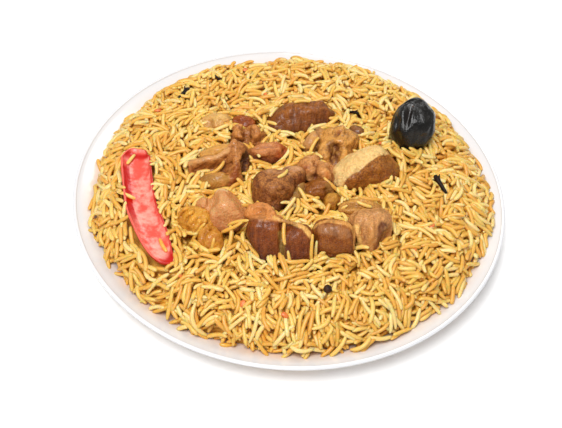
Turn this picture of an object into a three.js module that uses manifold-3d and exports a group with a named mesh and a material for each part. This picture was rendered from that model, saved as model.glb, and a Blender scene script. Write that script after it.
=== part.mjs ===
// A round white coupe plate heaped with long-grain yellow rice. Chunks of stewed meat lie in the
// middle, half a red pepper lies on the left, and a dried black lime stands on the right.
// Millimetres, +Z up. The origin is the centre of the plate's foot, where it rests on the table.
// -Y is the front of the plate, the side nearest the diner.

import * as THREE from 'three';
import { mergeVertices } from 'three/addons/utils/BufferGeometryUtils.js';
import Module from 'manifold-3d';

const wasm = await Module();
wasm.setup();

// ---------- driving dimensions ----------

const fitGap = 0.3; // clearance between pieces that touch
const carveGap = 0.45; // how far a chunk is cut back from its neighbour
const nestGap = 0.8; // how far the rice's hollows are cut back from what sits in them
const meatTolerance = 0.25; // how far a chunk's facets may leave its true surface
const riceTolerance = 0.1; // the same for the bare rice
const sliverSize = 0.04; // the same once grains have been fused on
const sectors = 64; // flats round the plate

const plate = {
  radius: 150,
  rimHeight: 22,
  lipWidth: 3,
  lipDrop: 0.9, // step from the lip down to the inner slope
  slopeFoot: 104, // radius where the inner slope meets the flat well
  slopeSteps: 3,
  slopeCurve: 1.45, // how much the slope steepens towards the lip (1 is straight)
  wellHeight: 6.5,
  wall: 4,
  edgeDrop: 1.6, // from the top of the rim down to its outer edge
  edgeRound: 0.8, // how far the rim's top is drawn in from its edge on both sides
  footRadius: 84,
  footWidth: 5,
  footHeight: 2.5,
  footTaper: 1.5, // how far each side of the foot ring leans
  shelfWidth: 6, // how far the flat underside reaches past the slope's foot
};

const bed = {
  edgeRadius: 138.5,
  edgeWaves: [ // [waves round the edge, their size, phase]
    [2, 1.1, 0.6], [5, 0.88, 2.1], [9, 0.8, 1.2], [14, 0.56, 4],
  ],
  shiftX: 1.5, // the heap sits a little right of the plate's middle
  crown: 40.4, // highest level of the bare rice's flat top, on which the meat lies
  skirt: 10, // height where the shoulder would meet the edge, below the plate's slope
  shoulderPower: 6.5, // how late the top rolls over into the edge
  bumpRise: 1, // how far the surface's bumps stand over its mean level
  bumpDip: 2.4, // how far its dips go below
  bumpLength: 3.1, // sets the bumps' spacing, which is close to a grain's length
  facets: 14, // subdivisions of the icosahedron that is pressed into the heap's form
  undersideSectors: 32,
};

const grain = {
  length: [10, 16],
  width: 2.8,
  tilt: 12, // degrees out of the surface
  lift: -0.05, // height of its middle over the surface there, as a share of its width
  sides: 4,
  rings: 2,
  wanted: 185,
  tries: 6,
};

const limeLobes = [ // in the form that chunks, below, has
  { at: [82, 38.4, 54.5], half: [15.9, 15.4, 19.2], turn: [-33, 6, 0], boxy: 2.25,
    cuts: [[0.2, -0.9, 0.4, 14.4]] },
];
const limeFoot = 36.5; // the height of its flat underside, a little way down in the rice
const limeSeed = 9;

const pepper = {
  width: 20.6,
  wall: 2.6,
  depth: 7.6, // from the rims down to the back
  trough: 4.8, // from the rims down to the inner floor
  stemShare: 0.42, // width at the stem end, as a share of the full width
  stemFlare: 3.2, // how quickly it widens from there
  tipStart: 0.62, // where the taper to the tip starts, as a share of the length
  tipPower: 2.4, // how late that taper closes
  endShare: 0.3, // depth left where the width closes, as a share of the depth
  route: [ // the middle of the open side, from the stem end to the tip
    [-105.3, 7.5, 43.4], [-106.4, -2.5, 44.4], [-101.6, -27, 44.8], [-96.8, -45.5, 44.6],
    [-88.8, -63.3, 44.2], [-79.6, -81, 42.8], [-71, -88.5, 40.8],
  ],
  lengthSteps: 12,
  sectionPoints: 12,
};

const cloves = [ // [x, y, direction of the head in degrees, size]
  [-83, 68.5, 62, 1],
  [-58.5, 92, 133, 0.6],
  [102.5, -5.5, 124, 1],
  [39.5, 62.3, -27, 0.75],
];
const clove = {
  stemLength: 12,
  stemWidth: 3.2,
  headLength: 4,
  headWidth: 5.2,
  sides: 5,
  tilt: 8, // degrees that the head end is raised
  lift: 0, // height of its middle over the rice, as a share of the stem's width
};
const peppercorn = { at: [27.2, -100.8], diameter: 5.4, lift: 0.25 };

// Each chunk is one or more rounded lobes. A lobe has its middle, its half sizes along its own
// X, Y and Z, the turn in degrees about X, Y and Z, and how boxy it is (2 is an ellipsoid).
// A cut [x, y, z, distance] slices it flat, facing that way at that distance from its middle.
const chunks = {
  meat_back_slab: [
    { at: [2.5, 49.5, 42], half: [27, 11, 12], turn: [-30, 0, 11], boxy: 3.6,
      cuts: [[-0.6, 0.35, 0.7, 13.5], [0.7, -0.7, -0.1, 18], [0, -0.72, 0.7, 10]] },
  ],
  meat_back_pale: [
    { at: [-56.5, 40, 40.5], half: [13, 8.5, 8], turn: [-15, 10, 18], boxy: 2.6,
      cuts: [[-0.5, -0.1, 0.85, 6.5]] },
  ],
  meat_rusty_strip: [
    { at: [-36.7, 41.5, 40.6], half: [9, 5, 6.6], turn: [-20, 0, -8], boxy: 3, cuts: [] },
  ],
  meat_folded: [
    { at: [-36.8, 25, 41], half: [7.4, 7.2, 8.4], turn: [-20, 0, 12], boxy: 2.5, cuts: [] },
    { at: [-27.8, 28, 42.2], half: [7.6, 7.4, 8.4], turn: [-12, 8, -10], boxy: 2.5,
      cuts: [[0.6, -0.5, 0.6, 6.5]] },
  ],
  meat_red_curl: [
    { at: [-15.4, 12.2, 42], half: [12, 7, 8.4], turn: [-18, 8, 8], boxy: 2.8,
      cuts: [[0.9, -0.3, 0.2, 10]] },
    { at: [-26, 10.6, 40.6], half: [6.2, 6, 6.6], turn: [0, 0, 0], boxy: 2.3, cuts: [] },
  ],
  meat_ridge: [
    { at: [-56, -5.5, 41.6], half: [16, 7.5, 9.5], turn: [-28, -8, 12], boxy: 2.7,
      cuts: [[0.1, -0.8, 0.6, 5.5]] },
    { at: [-37, -4, 44.8], half: [8.8, 12.5, 15.2], turn: [-20, 12, -8], boxy: 2.9,
      cuts: [[0.85, -0.25, 0.45, 6.5], [-0.55, -0.45, 0.7, 9]] },
    { at: [-47.5, -14.5, 39.6], half: [12.5, 8, 7.5], turn: [-15, 0, 0], boxy: 2.5, cuts: [] },
  ],
  meat_centre_round: [
    { at: [-11, -24.5, 44.8], half: [14.8, 14, 15.5], turn: [-15, 0, 0], boxy: 2.5,
      cuts: [[-0.15, 0.25, 0.95, 13.5], [-0.7, -0.6, 0.3, 13.5], [0.55, -0.8, 0.1, 11.5]] },
    { at: [0.6, -12.5, 44.6], half: [9.4, 8.4, 10], turn: [0, 0, 20], boxy: 2.4,
      cuts: [[0.9, -0.3, 0.2, 8]] },
  ],
  meat_mid_upper: [
    { at: [11.5, 0.6, 43], half: [8, 6, 8.4], turn: [-15, 0, 15], boxy: 2.5, cuts: [] },
    { at: [20.6, -5, 42.8], half: [10.4, 7, 9.4], turn: [-15, 6, -6], boxy: 2.7, cuts: [] },
  ],
  meat_mid_lower: [
    { at: [20, -19, 41.8], half: [11, 7.4, 8.8], turn: [-20, 0, 8], boxy: 2.5, cuts: [] },
  ],
  meat_gold_lump: [
    { at: [14.6, 27, 43.4], half: [4.6, 12.5, 9], turn: [-16, 12, -24], boxy: 2.6, cuts: [] },
    { at: [31.5, 24.5, 44.2], half: [14.4, 12, 12.6], turn: [-18, 4, -10], boxy: 2.6,
      cuts: [[0.75, -0.45, 0.5, 11.5], [-0.4, 0.1, 0.9, 11]] },
    { at: [27.6, 12.6, 42.4], half: [7.8, 7.5, 9.6], turn: [-10, 0, 10], boxy: 2.3, cuts: [] },
  ],
  meat_fat_cap: [
    { at: [50.5, 1.5, 43.6], half: [26.5, 14, 14.6], turn: [-24, -4, 20], boxy: 2.7,
      cuts: [[0.75, -0.5, 0.45, 19.5], [-0.55, 0.2, 0.8, 14], [0.72, 0.1, 0.68, 16.5]] },
  ],
  meat_gristle: [
    { at: [-60.5, -54.5, 41.5], half: [12.6, 8.5, 9], turn: [-20, 0, -24], boxy: 2.4, cuts: [] },
    { at: [-49.5, -68, 40.4], half: [7.4, 11, 7.6], turn: [-12, 0, 34], boxy: 2.5, cuts: [] },
  ],
  meat_smooth: [
    { at: [-41, -46.5, 44.5], half: [15, 14.5, 13.2], turn: [-24, 4, -26], boxy: 2.5,
      cuts: [[-0.75, 0.1, 0.65, 10.5], [0.65, 0.35, 0.65, 10], [0.1, -0.8, 0.6, 10.5]] },
  ],
  meat_front_left: [
    { at: [-14, -67, 43.6], half: [12.8, 12.5, 18.5], turn: [-38, 4, -4], boxy: 3,
      cuts: [[0, -0.8, 0.6, 11], [-0.82, -0.5, -0.1, 10.5]] },
    { at: [6.2, -71.5, 42.8], half: [11.2, 11, 16.5], turn: [-36, 0, 4], boxy: 3,
      cuts: [[0.1, -0.82, 0.57, 9.8]] },
  ],
  meat_front_right: [
    { at: [29.8, -64.5, 44], half: [13.8, 10.6, 14], turn: [-32, 0, 3], boxy: 3.8,
      cuts: [[0, -0.84, 0.54, 9.6]] },
  ],
  meat_fibrous: [
    { at: [54, -54.5, 43.8], half: [14.6, 11.5, 15.5], turn: [-26, 6, 24], boxy: 3.6,
      cuts: [[-0.1, -0.92, 0.38, 11.5], [0.9, -0.4, 0.1, 12]] },
  ],
  meat_small_tan: [
    { at: [28.8, -28.4, 41.6], half: [6, 5.2, 7], turn: [-20, 0, 35], boxy: 3, cuts: [] },
  ],
  meat_dark_wedge: [
    { at: [46.5, -34.5, 42.4], half: [15, 6, 8], turn: [-15, -4, 8], boxy: 2.6, cuts: [] },
  ],
  meat_brown_bit: [
    { at: [44.5, 40.5, 41.2], half: [6, 4.4, 5.4], turn: [0, 0, -30], boxy: 2.6, cuts: [] },
  ],
};
const chunkFoot = bed.crown + fitGap; // the chunks' flat undersides
const lobeFacets = 2; // subdivisions of the icosahedron that a lobe is made from
const lobeLump = 0.055; // unevenness of a lobe, as a share of its size
const lumpCount = 2; // how quickly that unevenness changes round the lobe
const cutSoftness = 0.06; // how far the edge of a cut is rounded, as a share of the lobe

const colours = {
  glaze: '#f6f5f2',
  rice: '#e0ad4e',
  darkMeat: '#6f3b22',
  brownMeat: '#8f5532',
  paleMeat: '#c08a66',
  fat: '#dcb05e',
  pepper: '#d83a2c',
  lime: '#26221f',
};

// ---------- helpers ----------

const radians = THREE.MathUtils.degToRad;

// Repeatable random numbers from 0 to 1 (a 32-bit linear congruential generator).
function seededRandom(seed) {
  let state = seed >>> 0;
  return () => {
    state = (Math.imul(state, 1664525) + 1013904223) >>> 0;
    return state / 4294967296;
  };
}

// Smooth unevenness from -1 to 1 at a point, made of three crossing waves.
function waves(x, y, z, seed) {
  const a = Math.sin(x * 1.7 + z * 0.9 + seed * 2.1);
  const b = Math.sin(y * 2.3 - x * 1.1 + seed * 3.7);
  const c = Math.sin(z * 2.9 + y * 1.3 + seed * 5.3);
  return (a + b + c) / 3;
}

// A closed three.js geometry as a solid: shared vertices merged, empty triangles dropped.
function solidFrom(geometry) {
  const bare = new THREE.BufferGeometry();
  bare.setAttribute('position', geometry.getAttribute('position'));
  bare.setIndex(geometry.getIndex());
  const merged = mergeVertices(bare, 1e-4);
  const index = merged.getIndex().array;
  const kept = [];
  for (let i = 0; i < index.length; i += 3) {
    const [a, b, c] = [index[i], index[i + 1], index[i + 2]];
    if (a !== b && b !== c && c !== a) kept.push(a, b, c);
  }
  const mesh = new wasm.Mesh({
    numProp: 3,
    vertProperties: new Float32Array(merged.getAttribute('position').array),
    triVerts: new Uint32Array(kept),
  });
  return new wasm.Manifold(mesh);
}

// A solid back as a flat-shaded three.js geometry.
function geometryFrom(solid) {
  const mesh = solid.getMesh();
  const geometry = new THREE.BufferGeometry();
  geometry.setAttribute('position', new THREE.BufferAttribute(mesh.vertProperties, 3));
  geometry.setIndex(new THREE.BufferAttribute(mesh.triVerts, 1));
  return geometry;
}

// The largest body of a solid, without slivers and the scraps that a cut leaves.
function largestBody(solid, tolerance) {
  const bodies = solid.simplify(tolerance).decompose();
  return bodies.reduce((best, body) => (body.volume() > best.volume() ? body : best));
}

// A profile of [radius, height] points, from the axis and back to it, turned about Z.
function turned(profile, flats = sectors) {
  const points = profile.map(([radius, height]) => new THREE.Vector2(radius, height));
  return new THREE.LatheGeometry(points, flats).rotateX(Math.PI / 2);
}

function namedMesh(name, solid, colour, roughness) {
  const material = new THREE.MeshStandardMaterial({ color: colour, roughness, metalness: 0 });
  material.flatShading = true;
  const mesh = new THREE.Mesh(geometryFrom(solid), material);
  mesh.name = name;
  return mesh;
}

// ---------- plate ----------

// The plate's inner surface from the well's middle to the lip, raised by a gap.
function innerProfile(gap) {
  const { radius, rimHeight, lipWidth, lipDrop, slopeFoot, slopeSteps, slopeCurve } = plate;
  const floor = plate.wellHeight + gap;
  const rise = rimHeight - lipDrop - plate.wellHeight;
  const points = [[0, floor], [slopeFoot, floor]];
  for (let i = 1; i <= slopeSteps; i += 1) {
    const share = i / slopeSteps;
    const across = (radius - lipWidth - slopeFoot) * share;
    points.push([slopeFoot + across, floor + rise * share ** slopeCurve]);
  }
  return points;
}

function buildPlate() {
  const { radius, rimHeight, lipWidth, wall, edgeDrop, edgeRound } = plate;
  const { footRadius, footWidth, footHeight, footTaper, slopeFoot, shelfWidth } = plate;
  const inner = innerProfile(0);
  const lean = wall * 0.4; // the wall is square to the slope, so its underside lies further out
  const underside = innerProfile(-wall).slice(3, -1).map(([r, z]) => [r + lean, z]);
  const profile = [
    [0, footHeight],
    [footRadius - footWidth - footTaper, footHeight],
    [footRadius - footWidth, 0],
    [footRadius, 0],
    [footRadius + footTaper, footHeight],
    [slopeFoot + shelfWidth, footHeight + 1],
    ...underside,
    [radius, rimHeight - edgeDrop],
    [radius - edgeRound, rimHeight],
    [radius - lipWidth + edgeRound, rimHeight],
    ...inner.reverse(),
  ];
  return solidFrom(turned(profile));
}

// Everything below the plate's inner surface, raised by the gap that the rice keeps.
function belowPlate() {
  const outer = plate.radius + 10;
  const inner = innerProfile(fitGap);
  const top = inner[inner.length - 1][1] + 1;
  const profile = [[0, -10], [outer, -10], [outer, top], ...inner.reverse()];
  return solidFrom(turned(profile, bed.undersideSectors));
}

// ---------- rice ----------

// The heap's own outline is uneven: slow and quick waves round the edge.
function bedEdge(angle) {
  return bed.edgeWaves.reduce(
    (radius, [count, size, phase]) => radius + size * Math.sin(count * angle + phase),
    bed.edgeRadius,
  );
}

// The bumps of the rice's surface: how far it stands over or under its mean level.
function bedBump(x, y) {
  const wave = bed.bumpDip * waves(x / bed.bumpLength, y / bed.bumpLength, 0, 3);
  return Math.min(bed.bumpRise, wave);
}

// The mean level of the rice at a place, without its bumps.
function bedHeight(x, y) {
  const radius = Math.hypot(x - bed.shiftX, y);
  const share = Math.min(1, radius / bedEdge(Math.atan2(y, x - bed.shiftX)));
  const shoulder = Math.sqrt(1 - share ** bed.shoulderPower);
  return bed.skirt + (bed.crown - bed.bumpRise - bed.skirt) * shoulder;
}

// The heap's surface normal, from the slope between two nearby points each way.
function bedNormal(x, y) {
  const step = 2;
  const slopeX = (bedHeight(x + step, y) - bedHeight(x - step, y)) / (2 * step);
  const slopeY = (bedHeight(x, y + step) - bedHeight(x, y - step)) / (2 * step);
  return new THREE.Vector3(-slopeX, -slopeY, 1).normalize();
}

// The heap without loose grains. The upper half of an even sphere of triangles is pressed into
// the bumpy top, keeping the triangles' sizes alike, and the lower half into a flat foot.
function buildBedCore() {
  const geometry = new THREE.IcosahedronGeometry(1, bed.facets);
  const position = geometry.getAttribute('position');
  for (let i = 0; i < position.count; i += 1) {
    const level = position.getZ(i);
    const angle = Math.atan2(position.getY(i), position.getX(i));
    const radius = Math.sqrt(Math.max(0, 1 - Math.abs(level))) * bedEdge(angle);
    const x = bed.shiftX + radius * Math.cos(angle);
    const y = radius * Math.sin(angle);
    position.setXYZ(i, x, y, level < -1e-6 ? 0 : bedHeight(x, y) + bedBump(x, y));
  }
  return solidFrom(geometry);
}

// One grain lying along X: a slim spindle with few sides.
function grainGeometry(length, width) {
  const geometry = new THREE.SphereGeometry(1, grain.sides, grain.rings);
  return geometry.rotateZ(Math.PI / 2).scale(length / 2, width / 2, width / 2);
}

// A matrix that lays a piece's X along a direction on the heap, its Z along the heap's normal.
function layOnBed(x, y, direction, tilt, lift) {
  const normal = bedNormal(x, y);
  const along = new THREE.Vector3(Math.cos(direction), Math.sin(direction), 0);
  along.addScaledVector(normal, -along.dot(normal)).normalize();
  along.applyAxisAngle(new THREE.Vector3().crossVectors(normal, along), tilt);
  const across = new THREE.Vector3().crossVectors(normal, along).normalize();
  const up = new THREE.Vector3().crossVectors(along, across);
  const place = new THREE.Vector3(x, y, bedHeight(x, y) + bedBump(x, y));
  place.addScaledVector(normal, lift);
  return new THREE.Matrix4().makeBasis(along, across, up).setPosition(place);
}

// Grains in an even sunflower pattern. One that would touch a topping or the plate is turned,
// and skipped if no turn frees it.
function looseGrains(keepOut) {
  const random = seededRandom(7);
  const goldenAngle = Math.PI * (3 - Math.sqrt(5));
  const grains = [];
  for (let i = 0; i < grain.wanted; i += 1) {
    const radius = Math.sqrt((i + 0.5) / grain.wanted) * (bed.edgeRadius - 1.5);
    const angle = i * goldenAngle;
    const x = bed.shiftX + radius * Math.cos(angle);
    const y = radius * Math.sin(angle);
    const length = THREE.MathUtils.lerp(...grain.length, random());
    for (let attempt = 0; attempt < grain.tries; attempt += 1) {
      const direction = random() * Math.PI;
      const tilt = radians(grain.tilt) * (2 * random() - 1);
      const place = layOnBed(x, y, direction, tilt, grain.width * grain.lift);
      const piece = solidFrom(grainGeometry(length, grain.width).applyMatrix4(place));
      if (piece.intersect(keepOut).volume() < 1e-6) {
        grains.push(piece);
        break;
      }
    }
  }
  return grains;
}

// ---------- whole spices, fused to the rice ----------

// A dried clove: a tapered stem with a wider head, laid on the rice.
function buildClove([x, y, headDirection, size]) {
  const { stemLength, stemWidth, headLength, headWidth, sides, tilt, lift } = clove;
  const stem = new THREE.CylinderGeometry(stemWidth / 2, stemWidth / 3, stemLength, sides);
  const head = new THREE.CylinderGeometry(headWidth / 2, stemWidth / 2, headLength, sides);
  head.translate(0, stemLength / 2, 0);
  const place = layOnBed(x, y, radians(headDirection), -radians(tilt), stemWidth * lift);
  place.scale(new THREE.Vector3(size, size, size));
  const laid = [stem, head].map((shape) => shape.rotateZ(-Math.PI / 2).applyMatrix4(place));
  return wasm.Manifold.union(laid.map(solidFrom));
}

function buildPeppercorn() {
  const { at: [x, y], diameter, lift } = peppercorn;
  const ball = new THREE.IcosahedronGeometry(diameter / 2, 1);
  return solidFrom(ball.translate(x, y, bedHeight(x, y) + bedBump(x, y) + diameter * lift));
}

// ---------- meat ----------

// How far a lobe's surface lies from its middle, along a direction in the lobe's own axes.
function lobeRadius(direction, turnedDirection, { half, boxy, cuts }, seed) {
  const parts = direction.toArray().map((value, k) => Math.abs(value / half[k]) ** boxy);
  const whole = (parts[0] + parts[1] + parts[2]) ** (-1 / boxy);
  let radius = whole;
  for (const [x, y, z, distance] of cuts) {
    const facing = turnedDirection.dot(new THREE.Vector3(x, y, z).normalize());
    if (facing <= 0) continue;
    const flat = distance / facing;
    const softness = cutSoftness * whole;
    radius = (radius + flat - Math.hypot(radius - flat, softness)) / 2;
  }
  const spot = direction.clone().multiplyScalar(lumpCount);
  return radius * (1 + lobeLump * waves(spot.x, spot.y, spot.z, seed));
}

// One rounded, slightly uneven lobe with a flat foot at the given height. Grow widens it all
// round, for the pocket that it sits in.
function buildLobe(lobe, seed, foot, grow) {
  const geometry = new THREE.IcosahedronGeometry(1, lobeFacets);
  const position = geometry.getAttribute('position');
  const turn = new THREE.Euler(...lobe.turn.map(radians), 'ZYX');
  const direction = new THREE.Vector3();
  for (let i = 0; i < position.count; i += 1) {
    direction.fromBufferAttribute(position, i).normalize();
    const turnedDirection = direction.clone().applyEuler(turn);
    const radius = lobeRadius(direction, turnedDirection, lobe, seed) + grow;
    const point = turnedDirection.multiplyScalar(radius).add(new THREE.Vector3(...lobe.at));
    position.setXYZ(i, point.x, point.y, Math.max(point.z, foot - grow));
  }
  return solidFrom(geometry);
}

function buildLobes(lobes, seed, foot, grow = 0) {
  return wasm.Manifold.union(lobes.map((lobe, i) => buildLobe(lobe, seed + i * 0.37, foot, grow)));
}

// Each chunk as it lies, cut clear of the ones before it, with its widened form.
function buildChunks() {
  const built = [];
  Object.entries(chunks).forEach(([name, lobes], index) => {
    const whole = buildLobes(lobes, index + 1, chunkFoot);
    const carved = built.reduce((solid, other) => solid.subtract(other.pocket), whole);
    const pocket = buildLobes(lobes, index + 1, chunkFoot, carveGap);
    built.push({ name, solid: largestBody(carved, meatTolerance), pocket });
  });
  return built;
}

// ---------- red pepper ----------

// How wide the halved pepper is along its length, as a share of its full width.
function pepperShape(share) {
  const { stemShare, stemFlare, tipStart, tipPower } = pepper;
  const stemEnd = Math.min(1, stemShare + stemFlare * share ** 0.7);
  const taper = Math.max(0, (share - tipStart) / (1 - tipStart)) ** tipPower;
  return Math.max(0.14, stemEnd * Math.sqrt(Math.max(0, 1 - taper)));
}

// A point of the pepper's section: [sideways, upwards] from the middle between the two rims.
// The lower half turn is the skin, and the upper one the floor of the trough.
function pepperSection(turn, wide, deep, trough, grow) {
  const [sine, cosine] = [Math.sin(turn), Math.cos(turn)];
  if (cosine < 1e-6) return [sine * (wide + grow), -deep * Math.abs(cosine) ** 0.8 - grow];
  const across = sine / Math.cos(Math.PI / pepper.sectionPoints * 2);
  const floor = -trough * Math.max(0, 1 - across * across) ** 0.6;
  return [across * (wide - pepper.wall * 0.7), floor + grow];
}

// A half pepper lying open side up: a trough that follows its route and closes at both ends.
function buildPepper(grow = 0) {
  const route = new THREE.CatmullRomCurve3(pepper.route.map((point) => new THREE.Vector3(...point)));
  const geometry = new THREE.CylinderGeometry(1, 1, 1, pepper.sectionPoints, pepper.lengthSteps);
  const position = geometry.getAttribute('position');
  const up = new THREE.Vector3(0, 0, 1);
  for (let i = 0; i < position.count; i += 1) {
    const share = position.getY(i) + 0.5;
    const shape = pepperShape(share);
    const deep = pepper.depth * THREE.MathUtils.lerp(pepper.endShare, 1, shape);
    const trough = pepper.trough * shape * (1 - (2 * share - 1) ** 8);
    const isCapMiddle = Math.hypot(position.getX(i), position.getZ(i)) < 0.5;
    const turn = Math.atan2(position.getX(i), position.getZ(i));
    const [sideways, upwards] = isCapMiddle
      ? [0, -deep / 2]
      : pepperSection(turn, pepper.width / 2 * shape, deep, trough, grow);
    const along = route.getTangentAt(share);
    const side = new THREE.Vector3().crossVectors(along, up).normalize();
    const point = route.getPointAt(share).addScaledVector(side, sideways);
    point.addScaledVector(along, (2 * share - 1) * grow).addScaledVector(up, upwards);
    position.setXYZ(i, ...point.toArray());
  }
  return solidFrom(geometry);
}

// ---------- assembly ----------

const chunkColours = {
  meat_back_pale: colours.paleMeat,
  meat_smooth: colours.paleMeat,
  meat_small_tan: colours.paleMeat,
  meat_fat_cap: colours.fat,
  meat_gristle: colours.fat,
  meat_back_slab: colours.darkMeat,
  meat_centre_round: colours.darkMeat,
  meat_front_left: colours.darkMeat,
  meat_front_right: colours.darkMeat,
  meat_dark_wedge: colours.darkMeat,
};

// What sits down into the rice, widened by a gap.
function buildSunken(gap) {
  return buildLobes(limeLobes, limeSeed, limeFoot, gap).add(buildPepper(gap));
}

function buildRice(chunkPockets) {
  const underRice = belowPlate();
  const hollows = buildSunken(nestGap).simplify(riceTolerance);
  const core = largestBody(buildBedCore().subtract(underRice).subtract(hollows), riceTolerance);
  const keepOut = wasm.Manifold.union([underRice, buildSunken(carveGap), ...chunkPockets]);
  const loose = [...looseGrains(keepOut), ...cloves.map(buildClove), buildPeppercorn()];
  return largestBody(wasm.Manifold.union([core, ...loose]), sliverSize);
}

const meat = buildChunks();
const rice = buildRice(meat.map((chunk) => chunk.pocket));
const driedLime = buildLobes(limeLobes, limeSeed, limeFoot);

const dish = new THREE.Group();
dish.add(namedMesh('plate', buildPlate(), colours.glaze, 0.25));
dish.add(namedMesh('rice_bed', rice, colours.rice, 0.45));
for (const { name, solid } of meat) {
  dish.add(namedMesh(name, solid, chunkColours[name] ?? colours.brownMeat, 0.45));
}
dish.add(namedMesh('dried_lime', driedLime, colours.lime, 0.4));
dish.add(namedMesh('red_pepper', buildPepper(), colours.pepper, 0.3));

export default dish;
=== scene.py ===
import math
import bmesh
import bpy
import numpy as np
from mathutils import Matrix, Vector
from mathutils.bvhtree import BVHTree


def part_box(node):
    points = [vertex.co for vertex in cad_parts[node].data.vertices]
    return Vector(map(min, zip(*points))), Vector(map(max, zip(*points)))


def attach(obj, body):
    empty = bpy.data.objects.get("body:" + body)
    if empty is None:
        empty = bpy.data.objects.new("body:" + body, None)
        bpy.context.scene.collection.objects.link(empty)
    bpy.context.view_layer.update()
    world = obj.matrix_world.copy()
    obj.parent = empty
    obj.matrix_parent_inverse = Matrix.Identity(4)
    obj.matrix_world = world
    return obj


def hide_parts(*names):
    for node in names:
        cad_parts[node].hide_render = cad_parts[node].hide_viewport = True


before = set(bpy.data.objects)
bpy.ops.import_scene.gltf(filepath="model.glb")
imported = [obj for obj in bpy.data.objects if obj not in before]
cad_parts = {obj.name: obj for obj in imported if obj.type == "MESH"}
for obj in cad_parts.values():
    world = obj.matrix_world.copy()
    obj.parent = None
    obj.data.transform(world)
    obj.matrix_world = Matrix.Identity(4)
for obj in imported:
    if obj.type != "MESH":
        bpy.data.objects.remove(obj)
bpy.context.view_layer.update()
scene = bpy.context.scene
mm = 0.001
pieces = {}  # every piece of the visual model, by name


# Small helpers.

def colour(code):
    shares = [int(code[i:i + 2], 16) / 255 for i in (0, 2, 4)]
    linear = [s / 12.92 if s <= 0.04045 else ((s + 0.055) / 1.055) ** 2.4 for s in shares]
    return (*linear, 1.0)


def smoothstep(low, high, value):
    share = np.clip((value - low) / (high - low), 0, 1)
    return share * share * (3 - 2 * share)


def softNoise(points, size, seed=0):
    # Smooth noise from -1 to 1, with lumps of the given size, the same on every run.
    spot = np.asarray(points, float) / size
    cell = np.floor(spot).astype(np.int64)
    share = spot - cell
    share = share * share * (3 - 2 * share)
    total = np.zeros(len(spot))
    for corner in range(8):
        step = np.array([corner & 1, corner >> 1 & 1, corner >> 2 & 1])
        here = cell + step
        mixed = here[:, 0] * 73856093 ^ here[:, 1] * 19349663 ^ here[:, 2] * 83492791 ^ seed * 2654435761
        mixed = (mixed & 0xffffffff) * 1103515245 + 12345 & 0xffffffff
        mixed = (mixed ^ mixed >> 15) * 2246822519 & 0xffffffff
        value = (mixed >> 8 & 0xffff) / 32767.5 - 1
        total += value * np.prod(np.where(step, share, 1 - share), axis=1)
    return total


def layeredNoise(points, size, seed=0, layers=3):
    sizes = [0.5 ** layer for layer in range(layers)]
    whole = sum(share * softNoise(points, size * share, seed + i) for i, share in enumerate(sizes))
    return whole / sum(sizes)


def pointsOf(mesh):
    flat = np.empty(len(mesh.vertices) * 3)
    mesh.vertices.foreach_get("co", flat)
    return flat.reshape(-1, 3) / mm


def normalsOf(mesh):
    flat = np.empty(len(mesh.vertices) * 3)
    mesh.vertex_normals.foreach_get("vector", flat)
    return flat.reshape(-1, 3)


def setPoints(piece, points):
    piece.data.vertices.foreach_set("co", (points * mm).ravel())
    piece.data.update()


def newObject(name, vertices, faces):
    # Faces is a list of arrays, one for each number of corners.
    mesh = bpy.data.meshes.new(name)
    corners = np.concatenate([face.ravel() for face in faces])
    counts = np.concatenate([np.full(len(face), face.shape[1]) for face in faces])
    mesh.vertices.add(len(vertices))
    mesh.vertices.foreach_set("co", np.asarray(vertices, np.float32).ravel())
    mesh.loops.add(len(corners))
    mesh.loops.foreach_set("vertex_index", corners.astype(np.int32))
    mesh.polygons.add(len(counts))
    mesh.polygons.foreach_set("loop_start", (np.cumsum(counts) - counts).astype(np.int32))
    mesh.polygons.foreach_set("loop_total", counts.astype(np.int32))
    mesh.update(calc_edges=True)
    mesh.validate()
    item = bpy.data.objects.new(name, mesh)
    scene.collection.objects.link(item)
    return item


def newPiece(name, vertices, faces):
    pieces[name] = newObject(name, vertices, faces)
    pieces[name].data.shade_smooth()
    return pieces[name]


def addValues(piece, name, values):
    attribute = piece.data.attributes.new(name, "FLOAT", "POINT")
    attribute.data.foreach_set("value", np.asarray(values, np.float32))


def tubeFaces(rings, sides, offset=0):
    # Quads between rings of equal sides, with every ring's points in one row.
    ring = np.arange(rings - 1)[:, None] * sides
    side = np.arange(sides)[None, :]
    nextSide = (side + 1) % sides
    quads = np.stack([ring + side, ring + nextSide, ring + sides + nextSide, ring + sides + side], -1)
    return quads.reshape(-1, 4) + offset


def capFaces(ringStart, sides, tip, flip):
    side = np.arange(sides)
    nextSide = (side + 1) % sides
    pair = (nextSide, side) if flip else (side, nextSide)
    return np.stack([ringStart + pair[0], ringStart + pair[1], np.full(sides, tip)], -1)


def closedTube(rings, sides, inward=False):
    # The tube's quads with a fan at each end, whose tips are the two points after the rings.
    last = rings * sides
    quads = tubeFaces(rings, sides)
    ends = [capFaces(0, sides, last, not inward), capFaces(last - sides, sides, last + 1, inward)]
    return [quads[:, ::-1] if inward else quads, np.concatenate(ends)]


def roundAngles(sides):
    return np.arange(sides) / sides * 2 * math.pi


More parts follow.
